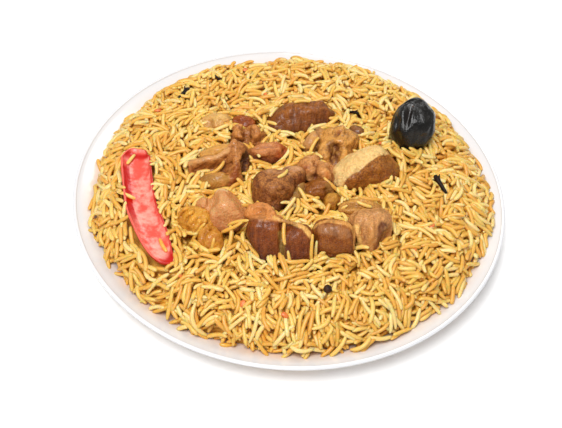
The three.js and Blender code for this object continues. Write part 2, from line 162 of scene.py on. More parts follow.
def splinePoints(points, count):
    # A smooth curve through the points, as places and directions at even steps.
    route = np.array(points, float)
    ends = np.concatenate([[2 * route[0] - route[1]], route, [2 * route[-1] - route[-2]]])
    fine = []
    for i in range(1, len(ends) - 2):
        before, start, end, after = ends[i - 1:i + 3]
        t = np.linspace(0, 1, 60, endpoint=False)[:, None]
        bow = 2 * before - 5 * start + 4 * end - after
        twist = 3 * start - before - 3 * end + after
        fine.append(0.5 * (2 * start + (end - before) * t + bow * t ** 2 + twist * t ** 3))
    fine = np.concatenate(fine + [route[-1:]])
    travelled = np.concatenate([[0], np.cumsum(np.linalg.norm(np.diff(fine, axis=0), axis=1))])
    wanted = np.linspace(0, travelled[-1], count)
    places = np.stack([np.interp(wanted, travelled, fine[:, k]) for k in range(3)], -1)
    directions = np.gradient(places, axis=0)
    return places, directions / np.linalg.norm(directions, axis=1)[:, None]


def joined(name, parts):
    # One piece from many closed forms of four- and three-cornered faces.
    points, byCorners, start = [], {4: [], 3: []}, 0
    for vertices, faces in parts:
        for face in faces:
            byCorners[face.shape[1]].append(face + start)
        points.append(vertices)
        start += len(vertices)
    faces = [np.concatenate(group) for group in byCorners.values() if group]
    return newPiece(name, np.concatenate(points) * mm, faces)


# Camera, floor and light.

view = {
    "target": (-5.14, -23.39, 22),  # what the middle of the picture looks at
    "elevation": 47.94,
    "distance": 780,
    "roll": 4.13,
    "lens": 73.08,
}
floorLook = {"colour": "ffffff", "size": 3.0, "glow": 0.05}  # size in metres
lamps = {
    "window": {"place": (-240, -560, 1360), "aim": (0, 0, 30), "size": 830, "watts": 20.5},
    "back": {"place": (150, 520, 640), "aim": (0, 0, 30), "size": 360, "watts": 1.6},
}
skyStrength = 0.34


def placeCamera():
    elevation, roll = math.radians(view["elevation"]), math.radians(view["roll"])
    back = Vector((0, -math.cos(elevation), math.sin(elevation)))
    right = Vector((1, 0, 0))
    up = right.cross(-back)
    rolledRight = right * math.cos(roll) + up * math.sin(roll)
    rolledUp = up * math.cos(roll) - right * math.sin(roll)
    place = Vector(view["target"]) * mm + back * view["distance"] * mm
    camera = bpy.data.objects.new("camera", bpy.data.cameras.new("camera"))
    camera.data.lens = view["lens"]
    camera.data.sensor_width = 36
    axes = Matrix((rolledRight, rolledUp, back)).transposed().to_4x4()
    camera.matrix_world = Matrix.Translation(place) @ axes
    scene.collection.objects.link(camera)
    scene.camera = camera


def placeFloor():
    half = floorLook["size"] / 2
    corners = np.array([(-half, -half, 0), (half, -half, 0), (half, half, 0), (-half, half, 0)])
    floor = newObject("floor", corners, [np.array([[0, 1, 2, 3]])])
    material = bpy.data.materials.new("paleFloor")
    material.use_nodes = True
    shader = material.node_tree.nodes["Principled BSDF"]
    shader.inputs["Base Color"].default_value = colour(floorLook["colour"])
    shader.inputs["Roughness"].default_value = 0.9
    shader.inputs["Emission Color"].default_value = (1, 1, 1, 1)
    shader.inputs["Emission Strength"].default_value = floorLook["glow"]
    floor.data.materials.append(material)


def placeLamps():
    for name, lamp in lamps.items():
        light = bpy.data.objects.new(name, bpy.data.lights.new(name, "AREA"))
        light.data.shape = "DISK"
        light.data.size = lamp["size"] * mm
        light.data.energy = lamp["watts"]
        light.location = Vector(lamp["place"]) * mm
        aim = Vector(lamp["aim"]) * mm - light.location
        light.rotation_euler = aim.to_track_quat("-Z", "Y").to_euler()
        scene.collection.objects.link(light)
    world = bpy.data.worlds.new("paleRoom")
    world.use_nodes = True
    background = world.node_tree.nodes["Background"]
    background.inputs["Color"].default_value = (1, 1, 1, 1)
    background.inputs["Strength"].default_value = skyStrength
    scene.world = world
    scene.view_settings.view_transform = "Standard"


placeCamera()
placeFloor()
placeLamps()
print("stage: camera, floor and lamps")


# Shared shader node groups.

def newGroup(name, numbers, outputs):
    # A group that takes a vector and named numbers, given with their defaults, and puts out numbers.
    group = bpy.data.node_groups.new(name, "ShaderNodeTree")
    group.interface.new_socket("Vector", in_out="INPUT", socket_type="NodeSocketVector")
    for label, default in numbers.items():
        socket = group.interface.new_socket(label, in_out="INPUT", socket_type="NodeSocketFloat")
        socket.default_value = default
    for label in outputs:
        group.interface.new_socket(label, in_out="OUTPUT", socket_type="NodeSocketFloat")
    return group, group.nodes.new("NodeGroupInput"), group.nodes.new("NodeGroupOutput")


def addNode(tree, kind, links=None, **values):
    # A node with its settings, and its sockets either set or linked from another socket.
    node = tree.nodes.new(kind)
    for name, value in values.items():
        setattr(node, name, value)
    for socket, source in (links or {}).items():
        if isinstance(source, bpy.types.NodeSocket):
            tree.links.new(source, node.inputs[socket])
        else:
            node.inputs[socket].default_value = source
    return node


def calculated(tree, operation, first, second):
    return addNode(tree, "ShaderNodeMath", {0: first, 1: second}, operation=operation).outputs[0]


def ranged(tree, value, labels, **values):
    # The value brought from one range to another, with the ends given by their labels.
    return addNode(tree, "ShaderNodeMapRange", {"Value": value, **labels}, **values).outputs["Result"]


def noiseNode(tree, vector, scale, detail, roughness, distortion=0.0):
    values = {"Vector": vector, "Scale": scale, "Detail": detail, "Roughness": roughness,
              "Distortion": distortion}
    return addNode(tree, "ShaderNodeTexNoise", values).outputs["Fac"]


def fibreGroup():
    # Muscle fibres: long streaks along X of the given vector, in millimetres.
    group, entry, leave = newGroup("muscleFibres", {"Width": 1.2}, ("Mask", "Height"))
    stretch = addNode(group, "ShaderNodeVectorMath", {0: entry.outputs["Vector"], 1: (0.13, 1, 1)},
                      operation="MULTIPLY").outputs[0]
    density = calculated(group, "DIVIDE", 1.0, entry.outputs["Width"])
    coarse = noiseNode(group, stretch, density, 3.0, 0.6, 0.4)
    sharper = ranged(group, coarse, {"From Min": 0.36, "From Max": 0.64})
    group.links.new(sharper, leave.inputs["Mask"])
    group.links.new(coarse, leave.inputs["Height"])
    return group


def blotchGroup():
    # Soft uneven patches: 1 inside a patch, 0 between them.
    group, entry, leave = newGroup("blotches", {"Size": 5.0, "Cover": 0.5, "Edge": 0.12}, ("Mask",))
    density = calculated(group, "DIVIDE", 1.0, entry.outputs["Size"])
    noise = noiseNode(group, entry.outputs["Vector"], density, 4.0, 0.62)
    level = calculated(group, "SUBTRACT", 1.0, entry.outputs["Cover"])
    middle = ranged(group, level, {"To Min": 0.3, "To Max": 0.7})
    low = calculated(group, "SUBTRACT", middle, entry.outputs["Edge"])
    high = calculated(group, "ADD", middle, entry.outputs["Edge"])
    mask = ranged(group, noise, {"From Min": low, "From Max": high}, interpolation_type="SMOOTHSTEP")
    group.links.new(mask, leave.inputs["Mask"])
    return group


def grainyGroup():
    # Fine pores and craggy grain for bump and for small colour changes.
    group, entry, leave = newGroup("fineGrain", {"Size": 0.8}, ("Height", "Mask"))
    density = calculated(group, "DIVIDE", 1.0, entry.outputs["Size"])
    noise = noiseNode(group, entry.outputs["Vector"], density, 5.0, 0.7)
    cells = addNode(group, "ShaderNodeTexVoronoi", {"Vector": entry.outputs["Vector"], "Scale": density},
                    feature="SMOOTH_F1")
    height = calculated(group, "ADD", noise, cells.outputs["Distance"])
    group.links.new(height, leave.inputs["Height"])
    group.links.new(ranged(group, height, {"From Min": 0.6, "From Max": 1.15}), leave.inputs["Mask"])
    return group


fibres = fibreGroup()
blotches = blotchGroup()
fineGrain = grainyGroup()


def newMaterial(name):
    material = bpy.data.materials.new(name)
    material.use_nodes = True
    tree = material.node_tree
    shader = tree.nodes["Principled BSDF"]
    place = addNode(tree, "ShaderNodeTexCoord")
    millimetres = addNode(tree, "ShaderNodeVectorMath", {0: place.outputs["Object"], "Scale": 1000.0},
                          operation="SCALE")
    return material, tree, shader, millimetres.outputs[0]


def placeGroup(tree, group, vector, **values):
    node = addNode(tree, "ShaderNodeGroup", node_tree=group)
    tree.links.new(vector, node.inputs["Vector"])
    for name, value in values.items():
        node.inputs[name].default_value = value
    return node


mixSockets = {"Factor": 0, "A": 6, "B": 7}  # where a colour Mix node keeps these sockets


def mixColour(tree, share, first, second, blend="MIX"):
    node = addNode(tree, "ShaderNodeMix", data_type="RGBA", blend_type=blend)
    for label, source in (("Factor", share), ("A", first), ("B", second)):
        socket = node.inputs[mixSockets[label]]
        if isinstance(source, bpy.types.NodeSocket):
            tree.links.new(source, socket)
        else:
            socket.default_value = source
    return node.outputs[2]


def scaled(tree, source, factor):
    return calculated(tree, "MULTIPLY", source, factor)


def attributeValue(tree, name):
    return addNode(tree, "ShaderNodeAttribute", attribute_name=name).outputs["Fac"]


def linkBump(tree, shader, height, strength, distance):
    bump = addNode(tree, "ShaderNodeBump", {"Height": height, "Strength": strength,
                                            "Distance": distance * mm})
    tree.links.new(bump.outputs["Normal"], shader.inputs["Normal"])


def linkRoughness(tree, shader, mask, low, high):
    tree.links.new(ranged(tree, mask, {"To Min": low, "To Max": high}), shader.inputs["Roughness"])


def setSockets(shader, values):
    for name, value in values.items():
        shader.inputs[name].default_value = value


def newFinish(name, finish):
    # A material with patches, pores, roughness and bump from its dictionary. Its colour comes after.
    material, tree, shader, place = newMaterial(name)
    patches = placeGroup(tree, blotches, place, **finish["patches"]).outputs["Mask"]
    pores = placeGroup(tree, fineGrain, place, Size=finish["pores"])
    linkRoughness(tree, shader, patches if finish.get("dullPatches") else pores.outputs["Mask"],
                  *finish["roughness"])
    linkBump(tree, shader, pores.outputs["Height"], *finish["bump"])
    setSockets(shader, finish["fixed"])
    return material, tree, shader, patches


def softLight(weight, radius, scale):
    return {"Subsurface Weight": weight, "Subsurface Radius": radius, "Subsurface Scale": scale}


# Plate.

plateSize = {
    "lipWidth": 3.0,
    "lipDrop": 0.9,
    "slopeFoot": 104,
    "slopeCurve": 1.45,
    "wellHeight": 6.5,
    "wall": 4,
    "footRadius": 84,
    "footWidth": 5,
    "footHeight": 2.5,
    "lipRound": 0.5, "edgeRound": 1.1,
    "sectors": 240,
}
glaze = {
    "colour": "e4e4e6", "oily": "f3cb9c",
    "oilyFrom": 147, "oilyTo": 132, "oilyShare": 0.85,  # a film of broth round the rice
    "patches": {"Size": 38, "Cover": 0.5, "Edge": 0.3}, "pores": 1.6,
    "roughness": (0.12, 0.2), "bump": (0.04, 0.2),
    "fixed": {"Coat Weight": 0.35, "Coat Roughness": 0.08},
}
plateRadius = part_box("plate")[1].x / mm
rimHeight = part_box("plate")[1].z / mm


def plateLevel(radius):
    # Height of the plate's upper surface at a distance from its middle.
    size = plateSize
    reach = plateRadius - size["lipWidth"] - size["slopeFoot"]
    share = np.clip((np.asarray(radius, float) - size["slopeFoot"]) / reach, 0, 1)
    rise = rimHeight - size["lipDrop"] - size["wellHeight"]
    return size["wellHeight"] + rise * share ** size["slopeCurve"]


def arcPoints(centre, radius, start, end, steps):
    angles = np.radians(np.linspace(start, end, steps))
    return [(centre[0] + radius * math.cos(a), centre[1] + radius * math.sin(a)) for a in angles]


def buildPlate():
    size = plateSize
    footInner, footOuter = size["footRadius"] - size["footWidth"], size["footRadius"]
    lipInner, lipRound, edgeRound = plateRadius - size["lipWidth"], size["lipRound"], size["edgeRound"]
    inner = [(r, float(plateLevel(r))) for r in np.linspace(2, lipInner, 60)]
    lip = arcPoints((lipInner + 2 * lipRound, rimHeight - lipRound), lipRound, 180, 90, 5)
    edge = arcPoints((plateRadius - edgeRound, rimHeight - edgeRound), edgeRound, 90, -40, 9)
    under = [(r + 1.6, float(plateLevel(r)) - size["wall"])
             for r in np.linspace(lipInner - 4, size["slopeFoot"], 24)]
    foot = [(footOuter + 5, size["footHeight"] + 0.6), (footOuter + 1.5, size["footHeight"] - 0.3)]
    foot += arcPoints((footOuter - 1, 1), 1, 0, -90, 5)
    foot += arcPoints((footInner + 1, 1), 1, -90, -180, 5)
    foot += [(footInner - 1.5, size["footHeight"]), (2, size["footHeight"])]
    profile = np.array(inner + lip + edge + under + foot)
    sectors = size["sectors"]
    turn = roundAngles(sectors)
    rings = np.stack([profile[:, :1] * np.cos(turn), profile[:, :1] * np.sin(turn),
                      np.repeat(profile[:, 1:], sectors, axis=1)], -1).reshape(-1, 3)
    tips = [(0, 0, size["wellHeight"]), (0, 0, size["footHeight"])]
    vertices = np.concatenate([rings, tips])
    piece = newPiece("whitePlate", vertices * mm, closedTube(len(profile), sectors, inward=True))
    distance = np.hypot(vertices[:, 0], vertices[:, 1])
    addValues(piece, "oily", smoothstep(glaze["oilyFrom"], glaze["oilyTo"], distance) * glaze["oilyShare"])
    return piece


def glazeMaterial():
    material, tree, shader, patches = newFinish("whiteGlaze", glaze)
    oily = scaled(tree, attributeValue(tree, "oily"), patches)
    tone = mixColour(tree, oily, colour(glaze["colour"]), colour(glaze["oily"]))
    tree.links.new(tone, shader.inputs["Base Color"])
    return material


plate = buildPlate()
plate.data.materials.append(glazeMaterial())
print("plate:", len(plate.data.polygons), "faces")


# Meat.

meatShape = {
    "voxel": 0.7,
    "settling": 1,  # smoothing passes after the strokes
    "strokeWidth": 1.3, "strokeDepth": 1.6,  # shared scale of all the strokes
    "swell": 0.5,
    "rollSides": 12, "rollSteps": 22,
    "lumps": 9, "bundles": 5.0, "knots": 3.6, "threads": 2.2, "strands": 2.0, "pits": 3.1,  # sizes
}
meatLook = {
    "strandWidth": 1.2, "poreSize": 1.0, "speckleSize": 1.1,
    "stains": {"Size": 7, "Cover": 0.45, "Edge": 0.3}, "oil": {"Size": 2.6, "Cover": 0.42, "Edge": 0.1},
    # Among these shares: painted light on faces turned up, painted highlight on ridges and painted shade in
    # creases.
    "strandShare": 0.7, "stainShare": 0.25, "litTopShare": 0.45, "poreShare": 0.22, "markStrands": 0.25,
    "ridgeLightShare": 0.55, "creaseShadeShare": 0.85,
    "dryer": 0.2,  # how much rougher it is between the oily patches
    "dryFilm": 0.1,  # the oil's coat there
    "bump": (0.8, 0.7),
    "fixed": {"Coat Roughness": 0.2, "Specular IOR Level": 0.3},
}
# What a piece has unless its own entry says otherwise.
plainMeat = {
    "rolls": [], "strokes": [], "zones": [], "paint": [],
    "soft": 10,  # smoothing passes on the solid's own facets
    # The next two are painted shade: in the dips and creases, and at the foot and underneath.
    "grain": 0.45,  # how dark its dips are
    "browning": 0.45,  # how dark its foot is
    "speckle": 0.42,  # how strong its dark specks are
    "film": 0.5,  # the coat of oil at its strongest
    "glow": 0.08,  # light that passes through it
}

# Fibre is the direction the muscle runs. Lump, crag, pit and streak are the heights of the large
# and small unevenness. Lean, light and dark are the meat's colours, gloss its least roughness.
# rolls: (route, radii) fused to the solid, as lips, flaps and ribs.
# strokes: (route, radius, push) press the surface in or out, or pull it by a vector.
# zones: (colour, start, direction, soft, wobble), another colour beyond a soft plane.
# paint: (colour, route, radius, share), another colour along a route.
meats = {
    "meat_back_slab": {
        "fibre": (0.1, -0.55, -0.83), "seed": 11, "lump": 0.7, "crag": 0.4, "pit": 0.1, "streak": 0.6,
        "lean": "843a04", "light": "b06719", "dark": "3e1501", "gloss": 0.36, "film": 0.3,
        "strokes": [
            ([(-15, 56, 52), (4, 60, 54.5), (20, 58, 52.5)], 4, (0, 0.2, 0.9)),
            ([(-8, 41, 50), (-6.5, 36, 42)], 1.6, -0.5), ([(5, 43, 51), (6, 38, 43)], 1.5, -0.4),
            ([(15, 46, 51), (16, 41, 44)], 1.5, -0.5), ([(26, 60, 53)], 7, (-1.0, -1.0, -1.6)),
        ],
        "zones": [("d2914a", (-8, 54, 52.5), (-0.25, 0.5, 0.83), 1.4, 1.6)],
        # The dark band along the foot is painted shade.
        "paint": [("501e06", [(-20, 42, 42), (-8, 35, 42), (10, 37, 42), (27, 46, 43)], 3.5, 0.6)],
    },
    "meat_back_pale": {
        "fibre": (0.9, 0.2, 0.2), "seed": 12, "lump": 1.2, "crag": 0.5, "pit": 0.1, "streak": 0.5,
        "lean": "e5a856", "light": "face78", "dark": "9d5e26", "gloss": 0.4, "glow": 0.25, "grain": 0.25,
        "browning": 0.4, "speckle": 0.12,
        "strokes": [([(-60, 37, 46), (-58, 32, 43)], 3, -1.6), ([(-52, 41, 49), (-48, 40, 48)], 3, 1.2)],
        # The darker lower-left side is a painted shadow.
        "zones": [("9a612d", (-62, 33, 42), (-0.6, -0.8, -0.1), 2.5, 2)],
    },
    "meat_rusty_strip": {
        "fibre": (1, 0, 0), "seed": 13, "lump": 1.0, "crag": 1.0, "pit": 0.28, "streak": 0.6,
        "lean": "a24101", "light": "cd6907", "dark": "561900", "gloss": 0.34,
        "strokes": [([(-42, 40, 46), (-30, 40, 47)], 1.8, -1.2)],
    },
    "meat_folded": {
        "fibre": (0.7, -0.5, 0.5), "seed": 14, "lump": 1.0, "crag": 0.9, "pit": 0.14, "streak": 0.5,
        "lean": "be6721", "light": "f2a34f", "dark": "4c1b0d", "gloss": 0.24,
        "rolls": [
            ([(-43.5, 30, 47), (-39.5, 29.5, 50), (-35.5, 31, 51)], (1.5, 2.2, 1.5)),
            ([(-29.5, 32, 49.5), (-26.5, 27, 49.5), (-26, 22, 46.5)], (2.2, 2.8, 2.4)),
        ],
        "strokes": [
            ([(-33.2, 29, 51), (-33, 26, 48)], 2.8, -3.6), ([(-35, 24, 48), (-31, 22.5, 47)], 2.4, -2.6),
            ([(-40, 25, 48.5), (-37.5, 23, 48)], 3, 1.4), ([(-37, 20, 46), (-32, 20, 45)], 2, -1.5),
        ],
        "paint": [
            # The near-black mark in the fold's hole is painted shade, and the dark band along the bottom is
            # a painted shadow.
            ("2e0d0e", [(-33.5, 28, 50), (-33, 24, 47.5), (-31.5, 22.5, 46.5)], 2.6, 0.9),
            ("4d1b0e", [(-40, 19.5, 43.5), (-30, 18.5, 43)], 3, 0.7),
        ],
    },
    "meat_red_curl": {
        "fibre": (0.9, -0.2, 0), "seed": 15, "lump": 0.9, "crag": 0.6, "pit": 0.1, "streak": 0.9,
        "lean": "bd632a", "light": "f3a35d", "dark": "612510", "gloss": 0.27,
        "rolls": [([(-29, 9.5, 46), (-20, 9, 48), (-8, 12.5, 48)], (2.6, 3.8, 3.6))],
        "strokes": [([(-24, 10, 51), (-12, 12, 51.5)], 1.8, -1.2), ([(-4.5, 13, 47.5)], 3, -1.8)],
        "zones": [("bf5312", (-11, 11, 48), (1, 0, 0), 3, 2)],
        # The dark band along the foot under the curl is painted shade.
        "paint": [("4c190d", [(-28, 5.5, 44), (-16, 5, 43.5), (-5, 8.5, 44)], 3, 0.7)],
    },
    "meat_ridge": {
        "fibre": (0.6, -0.3, 0.7), "seed": 16, "lump": 0.6, "crag": 0.5, "pit": 0.1, "streak": 0.6,
        "lean": "b26323", "light": "dd9349", "dark": "552006", "gloss": 0.3, "soft": 4, "grain": 0.3,
        "browning": 0.2,
        "rolls": [
            ([(-71.5, -6.5, 45.5), (-65.6, -6.2, 49), (-58, -5.5, 50.8), (-50, -2.8, 51.8),
                (-43.5, 0.5, 55), (-38, 4.2, 59.5)], (1.1, 1.7, 1.8, 1.8, 2.0, 1.5)),
            ([(-64, 4, 44), (-54, 7, 46.8), (-45.5, 7.8, 49.3), (-38.5, 7, 54)], (2.4, 3.4, 3.6, 2.0)),
            ([(-36.5, -11, 53.5), (-38.8, -15.8, 47), (-40.3, -19.5, 42.5)], (1.6, 2.2, 1.8)),
        ],
        "strokes": [
            ([(-64.5, -11, 44.4), (-57.8, -10.3, 45), (-49.8, -8.6, 46), (-44.4, -8.5, 48.5)], 4.4, -2.4),
            ([(-59, -15, 42), (-53.6, -18.6, 45), (-46, -17, 46)], 5, 1.8),
            ([(-62, -12.8, 42), (-54, -14, 46.5), (-46, -12.8, 47.5)], 1.5, -1.0),
            ([(-41.8, -7, 52), (-43.2, -13, 47.5), (-44, -18, 44)], 1.7, -1.4),
            ([(-32, -4, 50), (-30.9, -8.2, 45)], 5, -2.4), ([(-38, 2.5, 57.5)], 6, (-0.5, 1.0, 1.6)),
            ([(-52, 1.5, 49), (-44, 3.5, 52)], 2.0, -1.4),
        ],
        "zones": [("dda24a", (-54, 1.2, 48), (-0.31, 0.95, 0), 1.0, 0.8)],
        "paint": [
            ("c08a3a", [(-60, -15, 41.5), (-53.6, -19, 45), (-46, -17.5, 46)], 6.4, 0.95),
            ("e0a868", [(-70, -6.5, 47), (-58, -5, 52.5), (-50, -2.4, 53.5), (-44, 0, 56.5)], 2.4, 0.9),
            ("8e4414", [(-36, -11, 54), (-38.8, -17, 47), (-40.3, -21, 42.5)], 3.2, 0.9),
            # The near-black patch beside the round chunk is a painted shadow in the gap.
            ("240a05", [(-33, 0, 50), (-32.5, -6, 46), (-33, -11, 42)], 7.4, 1.0),
            ("9c562a", [(-66, -10, 44), (-60, -9.5, 44)], 3.5, 0.5),
        ],
    },
    "meat_centre_round": {
        "fibre": (0.3, 0.4, -0.9), "seed": 17, "lump": 0.8, "crag": 0.45, "pit": 0.25, "streak": 0.3,
        "lean": "8e4410", "light": "cc8640", "dark": "4a1806", "gloss": 0.38, "film": 0.35, "grain": 0.6,
        "speckle": 0.6,
        "strokes": [
            ([(-9, -33.5, 56), (-5, -33, 55)], 1.5, -0.6), ([(-11, -37, 50), (-7, -37.5, 48)], 1.7, -0.7),
            ([(4, -21, 52), (2.5, -25.5, 46), (1.5, -28, 42)], 2.6, -1.4),
            ([(-8.5, -38, 44)], 5, (0, -1.8, -1.0)), ([(5, -14, 53), (2, -17, 54)], 5, 0.6),
        ],
        # The paler top is partly the meat's own colour and partly painted light.
        "zones": [("d89e6a", (-10, -17, 56.5), (-0.1, 0.6, 0.8), 2.0, 2.5)],
        "paint": [
            # The near-black band along the front foot is painted shade.
            ("360e06", [(-12, -40, 43), (-8, -40.5, 42), (-4, -38, 42)], 5.5, 0.85),
            ("9f5319", [(4, -16, 50), (7, -15, 46)], 4, 0.6),
        ],
    },
    "meat_mid_upper": {
        "fibre": (0.8, 0.3, 0.4), "seed": 18, "lump": 1.0, "crag": 1.0, "pit": 0.17, "streak": 0.6,
        "lean": "c57230", "light": "f4ad5f", "dark": "692d10", "gloss": 0.32,
        "rolls": [([(5, 0, 48.5), (12, 4, 50.5), (19, 5.5, 49.5)], (1.6, 2.0, 1.6))],
        "strokes": [
            ([(10.9, -3.7, 49)], 4.5, 1.6), ([(21.9, -10.1, 49.5)], 5, 1.4),
            ([(15.5, -1, 51.5), (16.5, -6, 49.5), (15.5, -10, 46)], 2.2, -2.0),
            ([(8, -8.5, 46), (13, -10, 45.5)], 3, 1.0), ([(27, -4, 51), (28.5, -9, 47)], 2.5, -1.4),
        ],
        "paint": [
            ("92400e", [(9.5, -4.5, 49.5), (12.5, -4, 50)], 2.6, 0.7),
            ("e5aa60", [(8, -9, 46), (14, -10.5, 46)], 3, 0.6),
            # The orange patch on the right lump is a painted highlight.
            ("da7b2b", [(23, -10, 51), (24, -12, 49)], 2.2, 0.6),
        ],
    },
    "meat_mid_lower": {
        "fibre": (0.9, 0.2, 0.1), "seed": 19, "lump": 1.0, "crag": 0.6, "pit": 0.1, "streak": 0.5,
        "lean": "894506", "light": "b86e17", "dark": "551e00", "gloss": 0.33, "grain": 0.3,
        "rolls": [
            ([(2.8, -21, 43.5), (6, -18.5, 45), (10, -16.5, 44)], (3, 3.6, 3)),
            ([(-1, -31.5, 41), (3.5, -27.5, 43.5), (8, -21, 43.5)], (2.5, 3.8, 3.4)),
            ([(16.8, -31, 42.2), (21.5, -29.5, 42.8)], (2.2, 2.6)),
        ],
        "strokes": [([(11, -24, 48), (13, -26, 45)], 3, 0.8), ([(24, -23, 49), (26, -25, 45)], 2.2, -1.2)],
        "zones": [("b08238", (10.5, -22, 42), (-0.95, -0.2, 0), 1.6, 1.2)],
        "paint": [
            ("8b410c", [(15.5, -31.5, 43.5), (22.5, -30, 44.5)], 3.4, 1.0),
            ("a6803b", [(25, -20, 49), (27, -22, 46)], 3.5, 0.5),
        ],
    },
    "meat_gold_lump": {
        "fibre": (0.3, 0.9, 0.3), "seed": 20, "lump": 0.9, "crag": 0.8, "pit": 0.3, "streak": 0.3,
        "lean": "c98032", "light": "f6b355", "dark": "5b260a", "gloss": 0.28, "soft": 4, "browning": 0.3,
        "rolls": [
            ([(18.5, 30.5, 48), (13, 23, 50), (9, 17, 46)], (2.8, 4.0, 3.5)),
            ([(20.5, 19, 50), (20.2, 12.5, 47), (22.8, 8.2, 43.5)], (1.8, 2.3, 2.0)),
            ([(35.5, 17, 51), (35, 11.7, 48.2), (32.5, 7, 45)], (1.6, 2.1, 1.8)),
        ],
        "strokes": [
            ([(27.9, 13, 51.5), (28.2, 8, 48)], 4.6, -4.4), ([(28.2, 11, 47)], 4, -3.0),
            ([(16.5, 28, 52), (16.3, 20, 48.5), (16.5, 14, 44)], 2.0, -2.2), ([(25.5, 27, 54)], 4, 1.6),
            ([(32, 29.5, 55)], 3.6, 1.4), ([(41, 22, 52)], 5, 1.2), ([(28.8, 24, 54.5)], 2.4, -1.6),
            ([(36, 25, 54)], 2.6, -1.7), ([(38, 16, 51)], 2.4, -1.3),
        ],
        "zones": [("c28a50", (16.3, 22, 47), (-0.95, 0.25, 0.1), 1.0, 0.8)],
        "paint": [
            # The dark patch in the pit is painted shade.
            ("5a280c", [(27.6, 18, 49), (28.2, 14, 46), (28, 11, 43)], 6.5, 0.95),
            ("a97e4d", [(26.5, 19, 52)], 2.6, 0.5), ("a95613", [(33, 31, 54), (31, 25, 55)], 2.6, 0.6),
        ],
    },
    "meat_fat_cap": {
        "fibre": (0.5, 0.5, -0.7), "seed": 21, "lump": 0.6, "crag": 0.7, "pit": 0.3, "streak": 0.08,
        "lean": "9a5210", "light": "c07a26", "dark": "4f1a01", "gloss": 0.36, "soft": 26, "film": 0.3,
        "glow": 0.25, "grain": 0.2, "browning": 0.25, "speckle": 0.6,
        "strokes": [
            ([(39, -11.5, 44), (45, -6.5, 50), (51.5, -1.8, 54.5), (62.1, 6.7, 55)], 1.6, -0.6),
            ([(36, -4, 48), (44, 3, 53.5), (56, 11, 56)], 7, 0.9), ([(29, -3, 49), (33, -7, 45)], 3, 1.0),
            ([(52, -10, 50), (60, -7, 50)], 4, -0.6), ([(47, -13, 45), (56, -13, 44)], 4, -0.8),
        ],
        "zones": [("fdd488", (51.5, -1.8, 54), (-0.66, 0.7, 0.2), 0.5, 1.0)],
        "paint": [
            ("cf8c4a", [(64, 14, 50), (70, 10, 48)], 4, 0.7),
            ("e0a050", [(28, -4, 47), (34, -8, 44)], 3, 0.5),
        ],
    },
    "meat_gristle": {
        "fibre": (0.65, 0.75, 0.1), "seed": 22, "lump": 1.7, "crag": 1.0, "pit": 0.25, "streak": 0.8,
        "lean": "d0821c", "light": "f0b040", "dark": "924b03", "gloss": 0.22, "soft": 3, "glow": 0.3,
        "grain": 0.3, "browning": 0.3, "speckle": 0.12,
        "rolls": [
            ([(-72.5, -49.5, 43.5), (-66, -54.5, 45.5), (-59, -60, 46), (-52, -66, 45.5),
                (-46.5, -72, 44.5), (-42, -77, 42)], (2.4, 4.0, 4.2, 4.0, 3.4, 2.6)),
            ([(-71, -55, 45), (-68, -51.5, 50.5), (-64.5, -49, 47)], (1.3, 2.0, 1.4)),
            ([(-67, -59, 44.5), (-63.5, -55, 51.5), (-62, -50.5, 48.5)], (1.2, 1.8, 1.2)),
            ([(-58, -62, 50), (-56, -60, 51.2)], (2.6, 2.4)),
            ([(-51.5, -66.5, 48), (-48.5, -67.5, 48.2)], (2.8, 2.2)),
            ([(-60, -66.5, 43.5), (-57.5, -64, 49), (-53, -58.5, 49.5)], (1.4, 1.6, 1.4)),
            ([(-54, -72, 43), (-50.5, -70.5, 47), (-46.5, -66.5, 47)], (1.2, 1.5, 1.2)),
            ([(-44.5, -76, 45), (-43.5, -73, 45.4)], (2.4, 2.2)),
        ],
        "strokes": [
            ([(-75, -51, 46)], 3, -1.4), ([(-71.5, -58, 46), (-68, -53, 50), (-65, -48.5, 47)], 1.5, -1.5),
            ([(-67.5, -61.5, 46), (-63.5, -56, 50.5), (-60.5, -51, 47)], 1.5, -1.5),
            ([(-63.5, -65, 46), (-59.5, -60, 50.5), (-56, -55.5, 47)], 1.5, -1.6),
            ([(-59.5, -68.5, 46), (-55.5, -63.5, 50), (-52, -59, 47)], 1.5, -1.5),
            ([(-55, -72, 46), (-51.5, -68, 49.5), (-48.5, -64, 47)], 1.5, -1.4),
            ([(-56, -72, 43)], 3, (-0.8, -1.0, 0)), ([(-63, -66, 43)], 3, (-1.0, -0.8, 0)),
        ],
        "zones": [("cc8428", (-54, -66, 43), (0.75, -0.65, -0.1), 4, 3)],
        "paint": [
            ("f6b23a", [(-66, -55, 51), (-63, -57, 51)], 5, 0.6),
            ("e19808", [(-44, -77, 46), (-42, -79, 43)], 4, 0.8),
        ],
    },
    "meat_smooth": {
        "fibre": (0.5, -0.8, 0.2), "seed": 23, "lump": 0.6, "crag": 0.25, "pit": 0.05, "streak": 0.25,
        "lean": "d18344", "light": "e8ad6f", "dark": "a25e27", "gloss": 0.22, "soft": 22, "glow": 0.35,
        "grain": 0.2, "browning": 0.3, "speckle": 0.12,
        "rolls": [([(-60.5, -42, 42.5), (-55.5, -42, 46.3), (-52.5, -47, 47.5)], (3.4, 5.0, 4.4))],
        "strokes": [
            ([(-45.5, -36.5, 56.5)], 9, (-0.8, 1.2, 1.2)), ([(-50.5, -44, 52)], 5, -0.6),
            ([(-53, -40, 50), (-53, -48, 50), (-52.5, -54, 46.5)], 1.9, -1.5),
            ([(-36, -38, 54), (-31, -46, 51)], 5, -0.5), ([(-40, -52, 53)], 6, 0.8),
            ([(-33, -57.5, 46), (-30, -55.5, 46)], 2, -0.8),
        ],
        "zones": [("d88a4e", (-38, -40, 53), (0.8, 0.3, 0.5), 3, 3)],
        "paint": [
            # The pale streak at the apex is a painted highlight, and the small pale spot at the lower right
            # is a painted glint.
